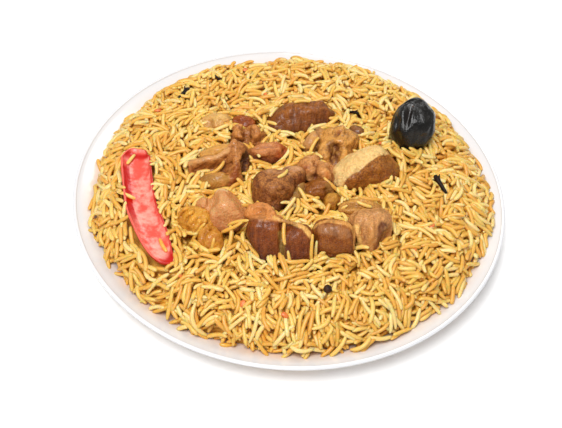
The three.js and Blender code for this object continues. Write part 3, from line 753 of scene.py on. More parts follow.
            ("f4d09a", [(-50, -37, 54), (-46.5, -35, 57), (-42, -36.5, 56)], 2.6, 0.85),
            ("eabf80", [(-49.5, -52, 52.5)], 3, 0.6), ("f6d9a1", [(-32.2, -57, 46.8)], 1.6, 0.9),
            ("c07442", [(-46, -57, 50), (-43, -59, 46)], 4, 0.5),
        ],
    },
    "meat_front_left": {
        "fibre": (0.1, -0.6, -0.8), "seed": 24, "lump": 0.7, "crag": 0.4, "pit": 0.1, "streak": 0.5,
        "lean": "742d01", "light": "9e5008", "dark": "330c00", "gloss": 0.34, "film": 0.4,
        "rolls": [
            ([(-27.5, -55, 51), (-22.5, -52.5, 57), (-16.5, -52, 58.3), (-12, -56, 58.8),
                (-9, -60.5, 59)], (3, 3.8, 3.6, 3.2, 2.6)),
            ([(-9, -62, 60), (-1, -64.5, 60.3), (8, -66, 59.2), (14.5, -70, 55)], (1.2, 1.1, 1.2, 1.1)),
        ],
        "strokes": [
            ([(-4.5, -66, 58), (-3.2, -73, 52), (-2.2, -80, 45)], 2.4, -1.1),
            ([(-24, -59, 56), (-21, -61, 57.5)], 3, 0.9), ([(-17, -56, 61), (-16, -60, 60)], 1.5, -1.0),
            ([(-21.5, -56, 60), (-21, -60, 59)], 1.4, -0.9), ([(16.5, -72, 52), (17, -76, 46)], 3, -1.4),
            ([(-24, -70, 44), (-20, -78, 42)], 4, -1.2),
        ],
        "zones": [("e39248", (-14, -62, 58.5), (-0.1, 0.78, 0.6), 1.2, 2.0)],
        "paint": [
            ("ffc46a", [(-9, -62, 61), (0, -64.3, 61.3), (8, -66, 60.2), (14.5, -70, 56)], 2.6, 0.95),
            ("c09a4c", [(-4, -70, 56), (-2.8, -75.5, 50), (-2.4, -80, 45)], 3.2, 0.8),
            ("c0601f", [(-25, -61, 54), (-18, -63.5, 56)], 3, 0.65),
            # The dark band along the foot is painted shade.
            ("3c150d", [(-20, -80, 42), (-8, -85, 42), (8, -82, 42)], 4, 0.7),
        ],
    },
    "meat_front_right": {
        "fibre": (0.2, -0.7, -0.7), "seed": 25, "lump": 0.6, "crag": 0.4, "pit": 0.12, "streak": 0.4,
        "lean": "8a3f04", "light": "b36919", "dark": "431401", "gloss": 0.35, "film": 0.4,
        "rolls": [
            ([(17, -62, 53.5), (25.3, -59, 57.2), (32, -60.5, 59.2), (38.1, -61.5, 58), (42, -64.5, 54)],
                (1.2, 1.3, 1.3, 1.3, 1.2)),
        ],
        "strokes": [
            ([(20, -76, 42.5), (30, -78, 42), (40, -76, 42)], 4, -2.0),
            ([(24, -70, 55), (30, -72, 52)], 5, -0.5), ([(18, -68, 50), (19, -72, 46)], 3, -0.8),
        ],
        "paint": [
            ("efac58", [(16.5, -61.5, 54), (25.3, -59, 58), (32, -60.5, 60), (38.3, -61.5, 58.8),
                (42.3, -64.5, 54.5), (43.8, -70, 47)], 2.4, 0.9),
            # The greyish patch on the upper face is a painted sheen, and the dark band beneath is a painted
            # shadow.
            ("b07a4c", [(21, -65, 57), (29, -67, 58), (37, -67, 56.5)], 4.5, 0.6),
            ("43180d", [(20, -76, 42), (40, -75, 42)], 3.5, 0.7),
        ],
    },
    "meat_fibrous": {
        "fibre": (-0.05, -0.55, -0.83), "seed": 26, "lump": 0.7, "crag": 0.45, "pit": 0.1, "streak": 0.7,
        "lean": "c98343", "light": "edad67", "dark": "6b2f0b", "gloss": 0.3, "soft": 8, "film": 0.4,
        "glow": 0.15, "grain": 0.35, "browning": 0.25,
        "strokes": [
            ([(41.5, -63, 45), (42.5, -65, 41)], 6, -2.4), ([(65, -61, 47), (63, -65, 42)], 6, -2.8),
            ([(46, -61, 55), (47.5, -66, 47), (49, -69, 41.5)], 1.1, -1.1),
            ([(50.5, -61, 57), (51.7, -66.5, 49), (52.5, -69, 42)], 1.1, -0.9),
            ([(55.5, -60.5, 58), (56.3, -66, 50), (56, -68, 43)], 1.2, -1.4),
            ([(53.5, -62, 56), (54, -67.5, 47)], 1.6, 0.9), ([(44, -60, 54), (45.5, -65.5, 47)], 1.6, 0.8),
            ([(45, -52, 60), (56, -50, 61)], 4, 0.8),
        ],
        "paint": [
            ("ffcc74", [(43.5, -61, 54), (46, -66.5, 44)], 4.2, 0.9),
            ("cc8a42", [(53.5, -62, 57), (54, -68, 46)], 3.6, 0.8),
            ("5a2606", [(61.5, -59, 56), (61.5, -64, 46), (60, -66, 42)], 5.4, 0.95),
            ("5a2606", [(49, -64, 53), (50.5, -68, 44)], 1.6, 0.8),
        ],
    },
    "meat_small_tan": {
        "fibre": (0.2, 0.3, 0.9), "seed": 27, "lump": 0.6, "crag": 0.5, "pit": 0.07, "streak": 0.6,
        "lean": "c07b1e", "light": "e8ab3d", "dark": "814105", "gloss": 0.34, "browning": 0.4,
        "strokes": [([(33.5, -27, 46), (33, -32, 43)], 2.5, -1.2)],
        "paint": [("a85f0d", [(33, -28, 46), (32.5, -33, 42)], 3, 0.7)],
    },
    "meat_dark_wedge": {
        "fibre": (0.95, 0.1, 0.1), "seed": 28, "lump": 0.9, "crag": 0.8, "pit": 0.17, "streak": 0.9,
        "lean": "d17f2b", "light": "fabc55", "dark": "682f14", "gloss": 0.32,
        "strokes": [([(36, -36, 48), (50, -36, 50)], 2.2, -1.2)],
    },
    "meat_brown_bit": {
        "fibre": (0.8, -0.5, 0), "seed": 29, "lump": 0.7, "crag": 0.7, "pit": 0.1, "streak": 0.8,
        "lean": "854711", "light": "b77730", "dark": "39150a", "gloss": 0.34,
    },
}


def rollForm(route, radii):
    # A closed tube with round ends along a route.
    steps, sides = meatShape["rollSteps"], meatShape["rollSides"]
    places, directions = splinePoints(route, steps)
    radius = np.interp(np.linspace(0, 1, steps), np.linspace(0, 1, len(radii)), radii)
    travelled = np.concatenate([[0], np.cumsum(np.linalg.norm(np.diff(places, axis=0), axis=1))])
    toEnd = np.minimum(travelled, travelled[-1] - travelled)
    radius = np.sqrt(np.maximum(radius ** 2 - np.maximum(radius - toEnd, 0) ** 2, 0.01))
    side = np.cross(directions, (0, 0, 1))
    side /= np.linalg.norm(side, axis=1)[:, None]
    up = np.cross(side, directions)
    turn = roundAngles(sides)[None, :, None]
    outward = np.cos(turn) * side[:, None] + np.sin(turn) * up[:, None]
    rings = places[:, None] + radius[:, None, None] * outward
    return np.concatenate([rings.reshape(-1, 3), places[[0, -1]]]), closedTube(steps, sides)


def evenMesh(piece, voxel, passes):
    # The same form with even small faces, softened a little.
    even = piece.modifiers.new("even", "REMESH")
    even.mode = "VOXEL"
    even.voxel_size = voxel * mm
    soft = piece.modifiers.new("soft", "SMOOTH")
    soft.factor = 0.6
    soft.iterations = passes
    ready = piece.evaluated_get(bpy.context.evaluated_depsgraph_get())
    dense = bpy.data.meshes.new_from_object(ready)
    piece.modifiers.clear()
    piece.data = dense
    dense.name = piece.name
    dense.shade_smooth()


def denseCopy(nodeName, pieceName, voxel, passes, rolls=()):
    # The node's form, with rolls fused on, as an even, softened mesh in a new object.
    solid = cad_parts[nodeName].data
    solid.calc_loop_triangles()
    corners = np.array([triangle.vertices[:] for triangle in solid.loop_triangles])
    parts = [(pointsOf(solid), [corners])]
    parts += [rollForm(route, radii) for route, radii in rolls]
    piece = joined(pieceName, parts)
    evenMesh(piece, voxel, passes)
    return piece


def alongFibre(points, direction, stretch):
    # The same points squeezed along the fibre, so that noise comes out as streaks.
    axis = np.array(direction, float)
    axis /= np.linalg.norm(axis)
    along = points @ axis
    return points - np.outer(along * (1 - stretch), axis)


def nearRoute(points, route, radius):
    # 1 on a route, falling softly to 0 at the radius.
    line = np.array(route, float)
    if len(line) > 1:
        line = splinePoints(line, 10 * len(line))[0]
    distance = np.full(len(points), np.inf)
    for spot in line:
        distance = np.minimum(distance, ((points - spot) ** 2).sum(1))
    return np.clip(1 - distance / radius ** 2, 0, 1) ** 1.5


def carveMeat(piece, strokes):
    points, normals = pointsOf(piece.data), normalsOf(piece.data)
    shift = np.zeros_like(points)
    for route, radius, push in strokes:
        share = nearRoute(points, route, radius * meatShape["strokeWidth"])[:, None]
        way = normals * push if np.isscalar(push) else np.array(push, float)
        shift += share * meatShape["strokeDepth"] * way
    setPoints(piece, points + shift)


def hollowness(mesh, passes=8):
    # How far, in millimetres, each point lies under the mean of the points round it.
    points, normals = pointsOf(mesh), normalsOf(mesh)
    ends = np.empty(len(mesh.edges) * 2, np.int32)
    mesh.edges.foreach_get("vertices", ends)
    here, there = np.concatenate([ends.reshape(-1, 2), ends.reshape(-1, 2)[:, ::-1]]).T
    count = np.maximum(np.bincount(here, minlength=len(points)), 1)
    mean = points
    for _ in range(passes):
        mean = np.stack([np.bincount(here, mean[there, k], len(points)) / count for k in range(3)], -1)
    return ((mean - points) * normals).sum(1)


def roughenMeat(piece, look):
    points, normals = pointsOf(piece.data), normalsOf(piece.data)
    foot = points[:, 2].min()
    seed, sizes = look["seed"], meatShape
    drawn = alongFibre(points, look["fibre"], 0.45)
    lumps = layeredNoise(points, sizes["lumps"], seed, 2) * look["lump"]
    bundles = 1.2 * (np.abs(layeredNoise(drawn, sizes["bundles"], seed + 40, 2))
                     + np.abs(layeredNoise(points, sizes["knots"], seed + 45, 2))) - 0.4
    fine = 2.4 * np.abs(layeredNoise(drawn, sizes["threads"], seed + 50, 2)) - 0.4
    pits = np.maximum(0, softNoise(points, sizes["pits"], seed + 60) - 0.3) * look["pit"] * 2.2
    strands = layeredNoise(alongFibre(points, look["fibre"], 0.12), sizes["strands"], seed + 80, 2)
    small = (np.minimum(bundles, 0.5) * look["crag"] * 0.75 + fine * look["crag"] * 0.3
             + strands * look["streak"] * 0.8 - pits)
    rough = points + normals * (lumps + small + meatShape["swell"])[:, None]
    rough[:, 2] = np.maximum(rough[:, 2], foot)
    setPoints(piece, rough)
    dents = np.zeros(len(points))
    for route, radius, push in look["strokes"]:
        if np.isscalar(push) and push < 0 and radius < 4:
            dents = np.maximum(dents, nearRoute(points, route, radius * 1.5) * min(1, -push / 1.6))
    low, middleLow, middleHigh, high = np.percentile(small, (3, 42, 58, 97))
    hollow = hollowness(piece.data)
    # Painted shade in the dips of the fine relief, in dents and in hollows of the form.
    crease = np.maximum(smoothstep(middleLow, low, small) * look["grain"], dents * 0.6)
    addValues(piece, "crease", np.maximum(crease, smoothstep(0.1, 0.8, hollow)))
    # Painted highlight on the high points of the fine relief and on bulging parts.
    crest = np.maximum(smoothstep(middleHigh, high, small) * 0.7, smoothstep(0.3, 0.9, -hollow))
    addValues(piece, "crest", crest * (1 - dents))
    # Painted shade towards the foot and on what faces down, painted light on what faces up.
    under = smoothstep(16, 1, points[:, 2] - foot) * 0.85 + smoothstep(0.45, -0.4, normals[:, 2]) * 0.45
    addValues(piece, "under", np.clip(under + 0.25 * layeredNoise(points, 6, seed + 90, 2), 0, 1))
    addValues(piece, "upper", smoothstep(0.45, 0.95, normals[:, 2]))
    for index, (_, start, direction, soft, wobble) in enumerate(look["zones"]):
        axis = np.array(direction, float)
        depth = (points - np.array(start)) @ (axis / np.linalg.norm(axis))
        depth += layeredNoise(points, 5, seed + 120 + index, 3) * wobble * 1.6
        addValues(piece, f"zone{index}", smoothstep(-soft, soft, depth))
    for index, (_, route, radius, share) in enumerate(look["paint"]):
        wobbly = points + 0.8 * layeredNoise(points, 3, seed + 160 + index, 2)[:, None]
        addValues(piece, f"paint{index}", smoothstep(0, 0.6, nearRoute(wobbly, route, radius)) * share)


def meatMaterial(name, look):
    material, tree, shader, place = newMaterial(name)
    turn = Vector((1, 0, 0)).rotation_difference(Vector(look["fibre"]).normalized()).to_euler()
    aligned = addNode(tree, "ShaderNodeMapping", {"Vector": place, "Rotation": tuple(turn)},
                      vector_type="TEXTURE").outputs[0]
    strands = placeGroup(tree, fibres, aligned, Width=meatLook["strandWidth"])
    pores = placeGroup(tree, fineGrain, place, Size=meatLook["poreSize"])
    stains = placeGroup(tree, blotches, aligned, **meatLook["stains"]).outputs["Mask"]
    oil = placeGroup(tree, blotches, place, **meatLook["oil"]).outputs["Mask"]
    speckles = placeGroup(tree, blotches, place, Size=meatLook["speckleSize"]).outputs["Mask"]
    lean, light, dark = (colour(look[key]) for key in ("lean", "light", "dark"))
    tone = lean
    # Fibre, stain, pore and speck colours, and painted light on faces turned up.
    for mask, share, code in ((strands.outputs["Mask"], meatLook["strandShare"], light),
                              (stains, meatLook["stainShare"], dark),
                              (attributeValue(tree, "upper"), meatLook["litTopShare"], light),
                              (pores.outputs["Mask"], meatLook["poreShare"], light),
                              (speckles, look["speckle"], dark)):
        tone = mixColour(tree, scaled(tree, mask, share), tone, code)
    marks = [(zone[0], f"zone{i}") for i, zone in enumerate(look["zones"])]
    marks += [(mark[0], f"paint{i}") for i, mark in enumerate(look["paint"])]
    for code, attribute in marks:
        patchy = mixColour(tree, scaled(tree, strands.outputs["Mask"], meatLook["markStrands"]),
                           colour(code), lean)
        tone = mixColour(tree, attributeValue(tree, attribute), tone, patchy)
    # Painted highlight on ridges, painted shade at the foot, underneath and in creases.
    for attribute, share, code in (("crest", meatLook["ridgeLightShare"], light),
                                   ("under", look["browning"], dark),
                                   ("crease", meatLook["creaseShadeShare"], dark)):
        tone = mixColour(tree, scaled(tree, attributeValue(tree, attribute), share), tone, code)
    tree.links.new(tone, shader.inputs["Base Color"])
    linkRoughness(tree, shader, oil, look["gloss"] + meatLook["dryer"], look["gloss"])
    film = ranged(tree, oil, {"To Min": meatLook["dryFilm"], "To Max": look["film"]})
    tree.links.new(film, shader.inputs["Coat Weight"])
    height = calculated(tree, "ADD", strands.outputs["Height"], pores.outputs["Height"])
    linkBump(tree, shader, height, *meatLook["bump"])
    setSockets(shader, meatLook["fixed"] | softLight(look["glow"], (1.0, 0.4, 0.2), 0.0015))
    return material


def buildMeat(nodeName, entry):
    look = plainMeat | entry
    words = nodeName.split("_")
    pieceName = words[0] + "".join(word.capitalize() for word in words[1:])
    piece = denseCopy(nodeName, pieceName, meatShape["voxel"], look["soft"], look["rolls"])
    carveMeat(piece, look["strokes"])
    evenMesh(piece, meatShape["voxel"], meatShape["settling"])
    roughenMeat(piece, look)
    piece.data.materials.append(meatMaterial(pieceName, look))
    return piece


chunks = {nodeName: buildMeat(nodeName, entry) for nodeName, entry in meats.items()}
print("meat:", sum(len(chunk.data.polygons) for chunk in chunks.values()), "faces")


# Dried lime.

limeLook = {
    "voxel": 0.8, "softening": 12,
    "axis": (0.1, 0.54, 0.84),  # from the bottom to the top of the fruit
    "wrinkle": 1.7, "wrinkleSize": 5.2, "highest": 0.55,
    "dent": 2.0, "dentSize": 12, "shrink": 0.6,
    "skin": "080604", "bloom": "25221d", "edge": "1a0d07", "bloomShare": 0.55, "edgeShare": 0.6,
    "patches": {"Size": 7, "Cover": 0.42, "Edge": 0.25}, "pores": 0.9, "dullPatches": True,
    "roughness": (0.14, 0.36), "bump": (0.45, 0.4),
    "fixed": {"Specular IOR Level": 0.5},
}


def buildLime():
    look = limeLook
    piece = denseCopy("dried_lime", "driedLime", look["voxel"], look["softening"])
    points, normals = pointsOf(piece.data), normalsOf(piece.data)
    centre = (points.min(0) + points.max(0)) / 2
    stretched = alongFibre(points - centre, look["axis"], 0.33)
    folds = 1 - 2.2 * np.abs(layeredNoise(stretched, look["wrinkleSize"], 61, 2))
    dents = softNoise(points, look["dentSize"], 67)
    height = np.minimum(folds, look["highest"]) * look["wrinkle"] + dents * look["dent"] - look["shrink"]
    setPoints(piece, points + normals * height[:, None])
    addValues(piece, "fold", smoothstep(0.4, -0.6, folds))
    return piece


def limeMaterial():
    look = limeLook
    material, tree, shader, dust = newFinish("driedLimeSkin", look)
    dusty = scaled(tree, dust, look["bloomShare"])
    tone = mixColour(tree, dusty, colour(look["skin"]), colour(look["bloom"]))
    worn = scaled(tree, attributeValue(tree, "fold"), look["edgeShare"])
    tree.links.new(mixColour(tree, worn, tone, colour(look["edge"])), shader.inputs["Base Color"])
    return material


lime = buildLime()
lime.data.materials.append(limeMaterial())
print("lime:", len(lime.data.polygons), "faces")


# Red pepper half.

pepperSize = {
    "route": [(-105.3, 7.5, 43.4), (-106.4, -2.5, 44.4), (-101.6, -27, 44.8), (-96.8, -45.5, 44.6),
              (-88.8, -63.3, 44.2), (-79.6, -81, 42.8), (-71, -88.5, 40.8)],
    "width": 20.4, "depth": 7.6, "trough": 4.4, "wall": 1.3,
    "steps": 150, "outerPoints": 26, "rimPoints": 5, "innerPoints": 24,
    "wrinkle": 0.5, "wrinkleSize": 6,
    # The deep red band on the right inner wall is painted shade.
    "shadeFrom": 0.56,  # where the deep red band begins, from the trough's middle to its side
}
pepperLook = {
    "flesh": "e85646", "pale": "fba896", "shade": "c01004", "skin": "bc1608", "rim": "ee6450",
    # The pale patches on the flesh are painted glare highlights.
    "glareShare": 0.9,
    "patches": {"Size": 9, "Cover": 0.45, "Edge": 0.12}, "pores": 1.4, "dullPatches": True,
    "roughness": (0.3, 0.42), "bump": (0.12, 0.3),
    "fixed": {"Coat Weight": 0.12, "Coat Roughness": 0.2} | softLight(0.15, (1.0, 0.25, 0.15), 0.002),
}


def pepperWidth(share):
    stemEnd = np.minimum(1, 0.42 + 3.2 * share ** 0.7)
    tip = np.sqrt(np.maximum(0, 1 - np.maximum(0, (share - 0.62) / 0.38) ** 2.4))
    return np.maximum(0.05, stemEnd * tip)


def rimPoints(middle, wall):
    # The rounded top of a side wall, from its right to its left.
    return [(middle + wall / 2 * math.cos(angle), wall * 0.35 * math.sin(angle))
            for angle in np.linspace(0, math.pi, pepperSize["rimPoints"] + 2)[1:-1]]


def buildPepper():
    # A thin half shell. Its rings run round the outside, over one rim, along the trough and back.
    size = pepperSize
    share = np.linspace(0, 1, size["steps"])
    places, directions = splinePoints(size["route"], size["steps"])
    side = np.cross(directions, (0, 0, 1))
    side /= np.linalg.norm(side, axis=1)[:, None]
    up = np.cross(side, directions)
    shape = pepperWidth(share)
    wide = size["width"] / 2 * shape
    deep = size["depth"] * (0.3 + 0.7 * shape)
    trough = size["trough"] * shape * (1 - (2 * share - 1) ** 12)
    wall = np.minimum(size["wall"], wide * 0.5)
    skinAngles = np.linspace(-math.pi / 2, math.pi / 2, size["outerPoints"])
    outside = [(wide * math.sin(angle), -deep * max(0, math.cos(angle)) ** 0.8) for angle in skinAngles]
    acrossShares = np.linspace(1, -1, size["innerPoints"])
    hollow = [((wide - wall) * across, -trough * max(0, 1 - across ** 2) ** 0.55) for across in acrossShares]
    ring = outside + rimPoints(wide - wall / 2, wall) + hollow + rimPoints(-wide + wall / 2, wall)
    shaded = [across > size["shadeFrom"] for across in acrossShares]
    onRim = [0] * len(outside) + [1] * size["rimPoints"] + [0] * len(hollow) + [1] * size["rimPoints"]
    onFlesh = [0] * (len(outside) + size["rimPoints"]) + [1] * len(hollow) + [0] * size["rimPoints"]
    onShade = [0] * (len(outside) + size["rimPoints"]) + shaded + [0] * size["rimPoints"]
    sides = len(ring)
    across, rise = (np.stack([point[k] for point in ring], 1) for k in (0, 1))
    wave = np.sin(share * 9.5 + 0.6)[:, None] * 0.6 + np.sin(share * 23)[:, None] * 0.3
    rise = rise + wave * np.linspace(0.4, 1, sides)[None, :] * shape[:, None]
    vertices = places[:, None] + side[:, None] * across[..., None] + up[:, None] * rise[..., None]
    tips = [places[0] - directions[0] * 0.4 - (0, 0, deep[0] / 2),
            places[-1] + directions[-1] * 0.4 - (0, 0, deep[-1] / 2)]
    vertices = np.concatenate([vertices.reshape(-1, 3), tips])
    piece = newPiece("redPepper", vertices * mm, closedTube(size["steps"], sides))
    rim, inside, band = (np.append(np.tile(marks, size["steps"]), [0, 0])
                         for marks in (onRim, onFlesh, onShade))
    lengths = np.append(np.repeat(share, sides), [0, 1])
    folded = layeredNoise(alongFibre(vertices, (0.35, 0.95, 0), 1.9), size["wrinkleSize"], 71, 3)
    height = folded * size["wrinkle"] * (0.6 + inside)
    setPoints(piece, vertices + normalsOf(piece.data) * height[:, None])
    endWall = smoothstep(0.10, 0.06, lengths) * smoothstep(0.02, 0.045, lengths)
    lengthwise = smoothstep(0.1, 0.16, lengths) * smoothstep(0.72, 0.5, lengths)
    tipShade = smoothstep(0.9, 0.96, lengths)
    right = vertices[:, 0] > np.append(np.repeat(places[:, 0], sides), [0, 0])
    addValues(piece, "flesh", inside)
    addValues(piece, "rim", rim * (1 - 0.8 * right))
    # Painted shade on the inner end wall and on a band of the right inner wall; the deep red at the tip is
    # the skin's own colour.
    addValues(piece, "shade", np.clip(endWall * inside + band * lengthwise + tipShade, 0, 1))
    return piece


def pepperMaterial():
    look = pepperLook
    material, tree, shader, patches = newFinish("redPepperFlesh", look)
    # Painted glare highlights in patches on the flesh.
    pale = scaled(tree, patches, look["glareShare"])
    flesh = mixColour(tree, pale, colour(look["flesh"]), colour(look["pale"]))
    tone = mixColour(tree, attributeValue(tree, "flesh"), colour(look["skin"]), flesh)
    for name in ("rim", "shade"):
        tone = mixColour(tree, attributeValue(tree, name), tone, colour(look[name]))
    tree.links.new(tone, shader.inputs["Base Color"])
    return material


pepper = buildPepper()
pepper.data.materials.append(pepperMaterial())
print("pepper:", len(pepper.data.polygons), "faces")


# The heap: its core and the ground that grains fall on.

heap = {
    "cell": 0.6,  # spacing of the height grid
    "reach": 151.2,  # half the grid's width
    "coreDepth": 6.5,  # how far the core lies below the finished surface
    "coreInset": 7.0,  # how far its edge lies inside the rice's edge
    "spread": 3.0, "spreadNoise": 2.5,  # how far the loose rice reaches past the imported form
    "heave": 3.0, "heaveSize": 17,  # slow ups and downs of the surface
    "ripple": 1.5, "rippleSize": 7.5,  # and small ones
    "nestRise": 3.6,  # extra rice round the foot of the meat, lime and pepper
    "underPart": 0.6,  # room that grains need under a solid's overhang
    "farthest": 144,  # the rice keeps inside the plate's lip
    "coreRings": 90, "coreSides": 240,
}
coreLook = {
    "colour": "f0b245", "dark": "dd982c",
    "patches": {"Size": 4, "Cover": 0.5, "Edge": 0.25}, "pores": 2.2,
    "roughness": (0.45, 0.65), "bump": (0.6, 1.0), "fixed": {},
}
nothing = -100  # height on the grid where there is nothing
cells = int(round(2 * heap["reach"] / heap["cell"])) + 1
gridLine = np.linspace(-heap["reach"], heap["reach"], cells)
gridX, gridY = np.meshgrid(gridLine, gridLine)


def topOf(objects, spacing, low, fromBelow=False):
    # Height of the objects seen from above or below, on the grid, and low where there is nothing.
    vertices, polygons = [], []
    for item in objects:
        polygons += [tuple(len(vertices) + i for i in face.vertices) for face in item.data.polygons]
        vertices += [vertex.co.copy() for vertex in item.data.vertices]
    tree = BVHTree.FromPolygons(vertices, polygons)
    heights = np.full((cells, cells), float(low))
    points = np.array(vertices) / mm
    lowCorner, highCorner = points.min(0), points.max(0)
    start, way = (-0.01, Vector((0, 0, 1))) if fromBelow else (0.2, Vector((0, 0, -1)))
    columns = np.nonzero((gridLine >= lowCorner[0]) & (gridLine <= highCorner[0]))[0][::spacing]
    rows = np.nonzero((gridLine >= lowCorner[1]) & (gridLine <= highCorner[1]))[0][::spacing]
    for row in rows:
        for column in columns:
            hit = tree.ray_cast(Vector((gridLine[column] * mm, gridLine[row] * mm, start)), way)[0]
            if hit is not None:
                heights[row:row + spacing, column:column + spacing] = hit.z / mm
    return heights


def blurred(grid, radius):
    # Three box blurs one after the other, close to a round soft brush.
    for axis in (0, 1, 0, 1, 0, 1):
        padded = np.pad(grid, [(radius + 1, radius) if k == axis else (0, 0) for k in (0, 1)], mode="edge")
        total = np.cumsum(padded, axis=axis)
        width = 2 * radius + 1
        ahead = np.take(total, range(width, width + grid.shape[axis]), axis=axis)
        behind = np.take(total, range(grid.shape[axis]), axis=axis)
        grid = (ahead - behind) / width
    return grid


def sample(grid, x, y):
    # Value of a grid at places given in millimetres, from the nearest cell.
    column = np.clip(np.rint((x + heap["reach"]) / heap["cell"]).astype(int), 0, cells - 1)
    row = np.clip(np.rint((y + heap["reach"]) / heap["cell"]).astype(int), 0, cells - 1)
    return grid[row, column]


def surveyHeap():
    # The finished surface to fill up to, the ground to start from, and where solid pieces stand.
    plateGround = plateLevel(np.hypot(gridX, gridY))
    packedTop = topOf([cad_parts["rice_bed"]], 2, 0)
    heap["inside"] = packedTop > plateGround + 0.6
    surface = blurred(np.maximum(packedTop, plateGround), 4)
    solids = [*chunks.values(), lime, pepper]
    solidTop = topOf(solids, 1, nothing)
    underside = topOf(solids, 1, nothing, fromBelow=True)
    heap["covered"] = solidTop > nothing
    near = blurred(heap["covered"].astype(float), 9)
    nearSolid = smoothstep(0.0, 0.35, near)
    heap["near"] = near
    alongY, alongX = np.gradient(near)
    heap["skirt"] = np.arctan2(alongX, -alongY)  # direction that runs round a solid's foot
    flat = np.stack([gridX.ravel(), gridY.ravel(), np.zeros(gridX.size)], -1)
    heave = layeredNoise(flat, heap["heaveSize"], 31, 2).reshape(gridX.shape) * heap["heave"]
    heave += softNoise(flat, heap["rippleSize"], 47).reshape(gridX.shape) * heap["ripple"]
    depth = surface - plateGround
    heap["surface"] = surface
    heap["target"] = surface + heave * smoothstep(2, 12, depth) + nearSolid * heap["nestRise"]
    onPepper = topOf([pepper], 1, nothing) > nothing
    overhung = (underside > heap["target"] - heap["underPart"]) & ~onPepper  # grains may lie below
    solidTop[overhung] = nothing
    heap["covered"] &= ~overhung
    heap["closed"] = onPepper & ~overhung
    angles = np.linspace(-math.pi, math.pi, 181)
    radii = np.arange(110, 150, 0.5)
    edges = []
    for angle in angles:
        there = sample(heap["inside"], radii * math.cos(angle), radii * math.sin(angle))
        edges.append(radii[there].max() if there.any() else radii[0])
    around = np.stack([np.cos(angles), np.sin(angles), np.zeros(len(angles))], -1) * 130
    edges = np.array(edges) + heap["spread"] + softNoise(around, 14, 49) * heap["spreadNoise"]
    edges = np.minimum(edges, heap["farthest"])
    heap["edgeAngles"], heap["edges"] = angles, edges
    coreReach = np.interp(np.arctan2(gridY, gridX), angles, edges) - heap["coreInset"]
    inCore = np.hypot(gridX, gridY) < coreReach
    coreTop = np.where(inCore, surface - heap["coreDepth"], nothing)
    heap["plateGround"] = plateGround
    heap["ground"] = np.maximum(np.maximum(coreTop, plateGround), solidTop)


def edgeAt(x, y):
    return np.interp(np.arctan2(y, x), heap["edgeAngles"], heap["edges"])


def buildCore():
    # A lumpy closed mound under the loose grains, with a flat foot on the plate's well.
    rings, sides = heap["coreRings"], heap["coreSides"]
    share = np.linspace(0.01, 1, rings)
    angle = roundAngles(sides)
    reach = np.interp(angle, heap["edgeAngles"] % (2 * math.pi), heap["edges"], period=2 * math.pi)
    radius = share[:, None] * (reach - heap["coreInset"])[None, :]
    x, y = radius * np.cos(angle), radius * np.sin(angle)
    places = np.stack([x.ravel(), y.ravel(), np.zeros(x.size)], -1)
    lumps = layeredNoise(places, 3.2, 33, 2).reshape(x.shape) * 1.1
    fall = 3.5 * smoothstep(16, 0, (1 - share)[:, None] * reach[None, :])  # a gentle slope at its edge
    top = sample(heap["surface"], x, y) - heap["coreDepth"] - fall + lumps
    ground = sample(heap["plateGround"], x, y) + 0.4
    level = np.maximum(top, ground)
    level[-1] = ground[-1]
    foot = plateSize["wellHeight"] + 0.4
    under = np.stack([x[-1] * 0.7, y[-1] * 0.7, np.full(sides, foot)], -1)
    vertices = np.concatenate([np.stack([x, y, level], -1).reshape(-1, 3), under,
                               [(0, 0, level[0].mean()), (0, 0, foot)]])
    return newPiece("riceCore", vertices * mm, closedTube(rings + 1, sides, inward=True))


def coreMaterial():
    material, tree, shader, patches = newFinish("deepRice", coreLook)
    tree.links.new(mixColour(tree, patches, colour(coreLook["colour"]), colour(coreLook["dark"])),
                   shader.inputs["Base Color"])
    return material


surveyHeap()
core = buildCore()
core.data.materials.append(coreMaterial())
print("heap:", cells, "by", cells, "height grid")


# Loose grains.

grains = {
    "most": 9600,
    "length": (10.0, 17.5),
    "width": (2.75, 3.25),
    "bend": 3.0,  # most that a grain's middle stands off the line between its ends
    "curled": 0.12,  # share of grains bent about twice as far
    "sway": 2.0,  # how far an S-shaped grain swings to each side
    "settle": 0.55,
    "sink": 0.45,  # height of a grain's axis over what it lies on, in half widths
    "overfill": 1.6,  # how far over the finished surface a grain may still come to rest
    "places": (3, 10),  # places tried for each grain, loosely and then snugly; the lowest is taken
    "turns": (2, 6),  # directions tried there, of which the snuggest is taken
    "clump": 38,  # spread of directions within a clump, in degrees
    "clumpSize": 15,
    "steepest": 0.9,
    "perky": 0.2,  # share of grains with one end standing up
    "rings": 8, "sides": 6,
    "patience": (250, 500),  # places tried in a row without success before the heap is full
    "strayWidth": 2.7,
    "seed": 5,
}
grainLook = {
    "stain": "f6c46a", "stainShare": 0.3, "tip": "fbe2a8", "tipFrom": 0.75, "tipShare": 0.2,
    # Painted shade: grains and parts of grains lying deeper under the heap's surface are darker and deeper
    # gold.
    "deep": "eca632", "deepShadeShare": 0.7, "deepFrom": 0.3, "deepTo": 3.6,  # depth in the heap
    "patches": {"Size": 6, "Cover": 0.5, "Edge": 0.25}, "pores": 0.7,
    "roughness": (0.28, 0.42), "bump": (0.1, 0.2),
    "fixed": {"Specular IOR Level": 0.45} | softLight(0.5, (1.0, 0.55, 0.15), 0.003),
}
# Kinds of grain from the palest to the deepest, with their share of the heap.
grainKinds = {
    "ricePale": {"share": 0.20, "colours": ("f3d994", "f0d184")},
    "riceYellow": {"share": 0.205, "colours": ("efcc76", "edc66a")},
    "riceGolden": {"share": 0.205, "colours": ("eac164", "e8ba58")},
    "riceAmber": {"share": 0.205, "colours": ("e7b858", "e3ae4c")},
    "riceOrange": {"share": 0.185, "colours": ("e5b254", "dfa84a")},
}
